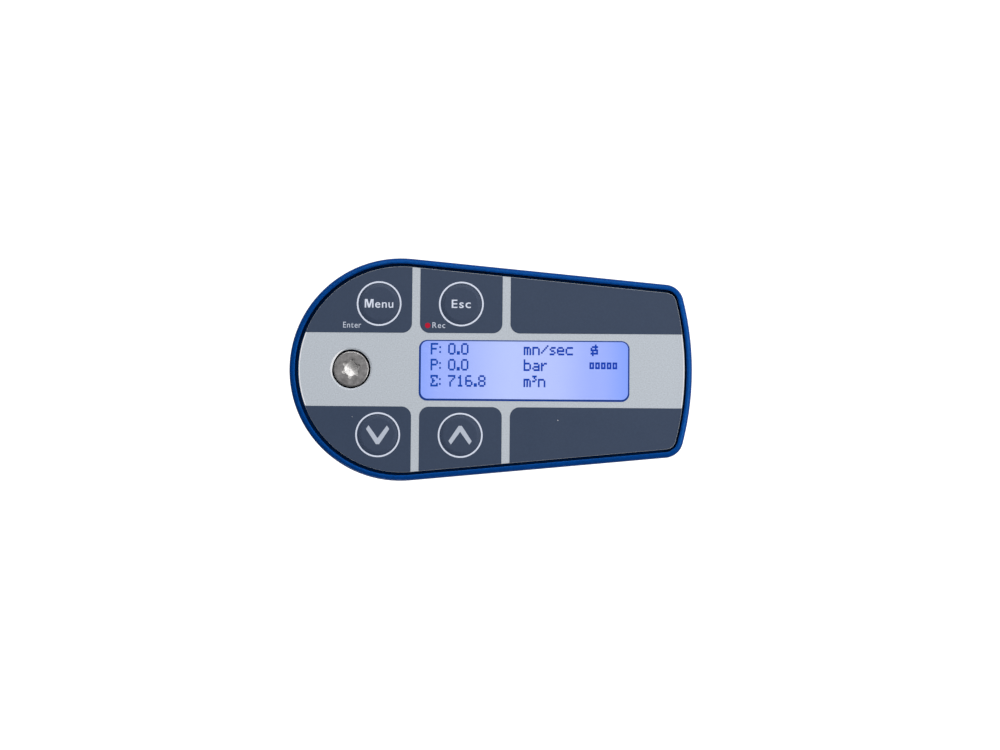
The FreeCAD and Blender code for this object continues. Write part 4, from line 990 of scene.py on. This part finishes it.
def word_loops(text, weight):
    """The outlines of a word's letters, set side by side with even gaps."""
    loops = []
    pen = 0.0
    for letter in text:
        shape = [upright_m()] if letter == "M" else [thicken(loop, weight) for loop in letter_loops(letter)]
        left, right = extent(shape, 0)
        loops += [[spot + Vector((pen - left, 0.0)) for spot in loop] for loop in shape]
        pen += right - left + LETTER_GAP
    return loops


def word(name, text, centre, width, height, bottom, weight=0.0, **printing):
    """A printed word, fitted to a width and height about a centre."""
    loops = word_loops(text, weight)
    (left, right), (foot, top) = extent(loops, 0), extent(loops, 1)

    def fit(spot):
        x = centre[0] + ((spot.x - left) / (right - left) - 0.5) * width
        y = centre[1] + ((spot.y - foot) / (top - foot) - 0.5) * height
        return x, y

    return printed(name, [[fit(spot) for spot in loop] for loop in loops], bottom, **printing)


LEGEND_WEIGHT = 0.008
WORDS = {
    "menu": ("Menu", 7.1 * MM, 2.16 * MM),
    "escape": ("Esc", 4.75 * MM, 2.08 * MM),
}
for name, (text, width, height) in WORDS.items():
    x, y, _, top = KEYS[name]
    riding = {"material": pale_ink, "body": f"{name}_key", "slot": "key_film"}
    word(f"legend_{name}", text, (x, y), width, height, top, LEGEND_WEIGHT, **riding)
ENTER = ((-12.12 * MM, 10.97 * MM), 4.5 * MM, 1.45 * MM)
RECORD = ((9.45 * MM, 11.0 * MM), 3.2 * MM, 1.42 * MM)
word("legend_enter", "Enter", *ENTER, FILM_TOP + INK, material=small_ink)
word("legend_record", "Rec", *RECORD, FILM_TOP + INK, material=small_ink)

# Corners in mm from the key's middle.
CHEVRON = ((-2.88, 1.41), (-2.28, 2.31), (0.0, -0.86), (2.28, 2.31), (2.88, 1.41), (0.385, -2.35),
           (-0.385, -2.35))
for name, flip in (("down", 1), ("up", -1)):
    x, y, _, top = KEYS[name]
    loop = [(x + across * MM, y + flip * up * MM) for across, up in CHEVRON]
    printed(f"chevron_{name}", [loop], top, chevron_ink, f"{name}_key", "key_film")

RECORD_DOT = (6.68 * MM, 10.92 * MM, 0.67 * MM)
printed("record_dot", [circle(*RECORD_DOT)], FILM_TOP + INK, red_ink)
print("rings, legends and dot printed")

# %% [markdown]
# ## Snap domes
# Under each key stands a thin steel dome that clicks flat when the key is pressed. A copy with its own
# mesh and the dome steel finish takes the place of each packed dome, which is hidden.

# %% Copies of the domes
for name in KEYS:
    low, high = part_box(f"dome_{name}")
    mesh = nodes[f"dome_{name}"].data.copy()
    mesh.materials.clear()
    dome = add_piece(f"snap_dome_{name}", mesh, dome_steel, "meter")
    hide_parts(f"dome_{name}")
    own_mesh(dome)

# %% [markdown]
# ## Screen
# The window has a thin navy line round it. It is partly a printed border and partly painted shade of the
# window's recessed edge, so it is wider at the left and below, and it gives out a faint painted glow. The
# print sits a little lower than the opening in the film, so a silver margin closes what it leaves free. On
# the panel, each lit cell is its own small square, and the letters are written as patterns of cells that a
# reader can see.

# %% Window line and characters
WINDOW_CORNER = 2.05 * MM
LINE_INK = 0.01 * MM
MARGIN_REACH = 0.4 * MM
# Left, right, bottom and top; the line is wider at the left and below, where shade is painted.
LINE_AND_SHADE_START = (0.03 * MM, 0.06 * MM, -0.27 * MM, 0.17 * MM)
LINE_AND_SHADE_WIDTH = (0.50 * MM, 0.36 * MM, 0.52 * MM, 0.27 * MM)
CLEAR_CORNER = WINDOW_CORNER - LINE_AND_SHADE_WIDTH[1]


def moved_in(box, insets):
    """A box's left, right, bottom and top, each moved in by its own inset."""
    return [place + way * inset for place, way, inset in zip(box, (1, -1, 1, -1), insets)]


window_box = (window_low.x, window_high.x, window_low.y, window_high.y)
line_and_shade_box = moved_in(window_box, LINE_AND_SHADE_START)
margin = rounded_box(*moved_in(window_box, 4 * [-MARGIN_REACH]), WINDOW_CORNER + MARGIN_REACH)
# Between these two outlines lies the navy line, partly print and partly painted shade.
line = rounded_box(*line_and_shade_box, WINDOW_CORNER)
clear = rounded_box(*moved_in(line_and_shade_box, LINE_AND_SHADE_WIDTH), CLEAR_CORNER)
printed("window_margin", [margin, line], FILM_TOP, silver_ink, thickness=LINE_INK)
printed("window_line", [line, clear], FILM_TOP, navy_line_and_shade, slot="clear_window", thickness=LINE_INK)

ROW_PITCH = 0.404 * MM
CELL_SHARE = 1.2
CELL_HEIGHT = 0.02 * MM
GLYPHS = {
    "F": "##### #.... #.... ####. #.... #.... #....",
    "P": "####. #...# #...# ####. #.... #.... #....",
    "Σ": "##### #...# .#... .##.. .#... #...# #####",
    ":": ". . # . . # .",
    ".": ".. .. .. .. .. ## ##",
    "0": ".###. #...# #...# #...# #...# #...# .###.",
    "1": "..#.. .##.. ..#.. ..#.. ..#.. ..#.. .###.",
    "6": ".###. #.... #.... ####. #...# #...# .###.",
    "7": "##### ....# ...#. ..#.. .#... .#... .#...",
    "8": ".###. #...# #...# .###. #...# #...# .###.",
    "/": "..... ....# ...#. ..#.. .#... #.... .....",
    "a": "..... ..... .###. ....# .#### #...# .####",
    "b": "#.... #.... ####. #...# #...# #...# ####.",
    "c": "..... ..... .#### #.... #.... #.... .####",
    "e": "..... ..... .###. #...# ##### #.... .####",
    "m": "..... ..... ####. #.#.# #.#.# #.#.# #.#.#",
    "n": "..... ..... ####. #...# #...# #...# #...#",
    "r": ".... .... #.## ##.. #... #... #...",
    "s": ".... .... .### #... .##. ...# ###.",
    "³": "### .#. ..# ##. ... ... ...",
    "$": "...#. .#### #..#. ##### .#..# ##### .#...",
    "□": "### #.# #.# ###",
}
ICON = ("$", 47.2 * MM, 5.05 * MM)
LEVEL = ("□□□□□", 46.95 * MM, 1.018 * MM)
TEXT_COLUMNS = (7.45 * MM, 11.8 * MM, 30.6 * MM)
TEXT_ROWS = {
    5.20 * MM: ("F:", "0.0", "mn/sec"),
    1.25 * MM: ("P:", "0.0", "bar"),
    -2.76 * MM: ("Σ:", "716.8", "m³n"),
}


def text_cells(text, left, middle):
    """Centres of the lit cells of a line of text, from its left end and middle height."""
    cells = []
    for letter in text:
        rows = GLYPHS[letter].split()
        for number, row in enumerate(rows):
            y = middle + (len(rows) // 2 - number) * ROW_PITCH
            cells += [(left + (n + 0.5) * DOT_PITCH, y) for n, mark in enumerate(row) if mark == "#"]
        left += (max(len(row) for row in rows) + 1) * DOT_PITCH
    return cells


def make_characters():
    cells = text_cells(*ICON) + text_cells(*LEVEL)
    for middle, texts in TEXT_ROWS.items():
        for text, left in zip(texts, TEXT_COLUMNS):
            cells += text_cells(text, left, middle)
    sketch = bmesh.new()
    size = Matrix.Diagonal((DOT_PITCH * CELL_SHARE, ROW_PITCH * CELL_SHARE, CELL_HEIGHT, 1.0))
    for x, y in cells:
        spot = Matrix.Translation((x, y, panel_top + CELL_HEIGHT / 2))
        bmesh.ops.create_cube(sketch, size=1.0, matrix=spot @ size)
    mesh = to_mesh("screen_characters", sketch)
    add_piece("screen_characters", mesh, screen_dots, "meter")
    return len(cells)


print(make_characters(), "screen cells lit")

# %% [markdown]
# ## Threads and screw sockets
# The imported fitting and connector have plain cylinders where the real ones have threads, and the screws
# under the base plate have plain heads. Boolean modifiers cut grooves and hexagon sockets out of the
# visible mesh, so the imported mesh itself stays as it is. Its vertices are split along hard edges, so a Weld
# modifier closes it first, and an Edge Split makes the edges hard again at the end. A cutter is its piece's
# child, so it stays with the piece when the probe slides or turns.

# %% Cut the threads and the sockets
TURN_STEPS = 48
GROOVE_SHARE = 0.58
FLANK = math.radians(30.0)
CLEAR = 0.25 * MM
CREASE = math.radians(25.0)
WELD_REACH = 0.001 * MM


def add_cutter(name, sketch):
    """A hidden object of the sketch's shape, for Boolean modifiers."""
    cutter = add_object(name, to_mesh(name, sketch))
    cutter.hide_render = True
    cutter.hide_viewport = True
    return cutter


def helix_cutter(name, axis_x, radius, pitch, low, high):
    """A closed V-shaped ribbon that winds about an upright axis and runs out of the metal at its top."""
    depth = GROOVE_SHARE * pitch
    half = (depth + CLEAR) * math.tan(FLANK)
    steps = int((high - low) / pitch * TURN_STEPS)
    fade = TURN_STEPS // 2
    sketch = bmesh.new()
    rings = []
    for step in range(steps + 1):
        angle = 2 * math.pi * step / TURN_STEPS
        z = low + pitch * step / TURN_STEPS
        lift = depth * max(0.0, 1.0 - (steps - step) / fade)
        outer = radius + CLEAR + lift
        ring = []
        for reach, rise in ((radius - depth + lift, 0.0), (outer, half), (outer, -half)):
            spot = (axis_x + reach * math.cos(angle), reach * math.sin(angle), z + rise)
            ring.append(sketch.verts.new(spot))
        rings.append(ring)
    for here, after in zip(rings, rings[1:]):
        for n in range(3):
            sketch.faces.new((here[n], here[n - 1], after[n - 1], after[n]))
    sketch.faces.new(rings[0])
    sketch.faces.new(rings[-1][::-1])
    bmesh.ops.recalc_face_normals(sketch, faces=sketch.faces[:])
    return add_cutter(name, sketch)


HEX_ACROSS = 2.0 * MM
HEX_DEPTH = 1.1 * MM
HEAD_REACH = 8.0 * MM
RIM_HEIGHT = 0.05 * MM


def head_places(node):
    """Where a set of screws with their heads at the bottom stand: the middles of the heads' rims."""
    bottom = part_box(node)[0].z
    heads = []
    for vertex in nodes[node].data.vertices:
        spot = vertex.co
        if spot.z > bottom + RIM_HEIGHT:
            continue
        mates = [head for head in heads if (head[0] - spot).length < HEAD_REACH]
        if mates:
            mates[0].append(spot)
        else:
            heads.append([spot])
    return [tuple(sum(extent([head], axis)) / 2 for axis in range(2)) for head in heads]


def hex_cutter(name, node):
    """Hexagonal prisms that reach from below into the heads of a set of screws."""
    corner = HEX_ACROSS / math.sqrt(3)
    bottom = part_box(node)[0].z
    sketch = bmesh.new()
    for x, y in head_places(node):
        spot = Matrix.Translation((x, y, bottom))
        sizes = {"radius1": corner, "radius2": corner, "depth": 2 * HEX_DEPTH}
        bmesh.ops.create_cone(sketch, cap_ends=True, segments=6, matrix=spot, **sizes)
    return add_cutter(name, sketch)


def cut_from(node, cutters):
    """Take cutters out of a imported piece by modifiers, with its edges closed first and hard again after."""
    weld = nodes[node].modifiers.new("Close edges", "WELD")
    weld.merge_threshold = WELD_REACH
    for cutter in cutters:
        cutter.parent = nodes[node]
        cutter.matrix_parent_inverse = nodes[node].matrix_world.inverted()
        groove = nodes[node].modifiers.new("Cut", "BOOLEAN")
        groove.object = cutter
        groove.operation = "DIFFERENCE"
        groove.solver = "EXACT"
    crease = nodes[node].modifiers.new("Hard edges", "EDGE_SPLIT")
    crease.split_angle = CREASE


pipe_low, pipe_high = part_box("fitting_body")
PIPE_RADIUS = 10.4775 * MM
PIPE_PITCH = 1.814 * MM
PIPE_END = -0.4 * PIPE_PITCH
NECK_RADIUS = 11.0 * MM
NECK_PITCH = 1.5 * MM
NECK_FOOT = 10.0 * MM
SOCKET_RADIUS = 6.0 * MM
SOCKET_PITCH = 1.0 * MM
SOCKET_THREAD = 9.5 * MM
SOCKET_RUNOUT = 0.5 * SOCKET_PITCH
socket_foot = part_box("m12_shell")[0].z
# For each piece and cutter: the axis's X, radius and pitch, then the groove's lower and upper end.
GROOVES = {
    "fitting_body": {
        "pipe_groove": (0.0, PIPE_RADIUS, PIPE_PITCH, pipe_low.z - PIPE_PITCH, PIPE_END),
        "neck_groove": (0.0, NECK_RADIUS, NECK_PITCH, NECK_FOOT + NECK_PITCH, pipe_high.z + NECK_PITCH),
    },
    "m12_shell": {
        "socket_groove": (SOCKET_X, SOCKET_RADIUS, SOCKET_PITCH, socket_foot - SOCKET_PITCH,
                          socket_foot + SOCKET_THREAD - SOCKET_RUNOUT),
    },
}
for node, grooves in GROOVES.items():
    cut_from(node, [helix_cutter(name, *groove) for name, groove in grooves.items()])
cut_from("base_screws", [hex_cutter("screw_sockets", "base_screws")])
print("threads and sockets cut;", len(head_places("base_screws")), "base screws")

# %% [markdown]
# ## Size at the end
# The looks never change the object's size: the boxes before and after are printed.

# %% Finish
bpy.context.view_layer.update()
low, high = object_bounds()
print("visual box", [round(size / MM, 2) for size in high - low])
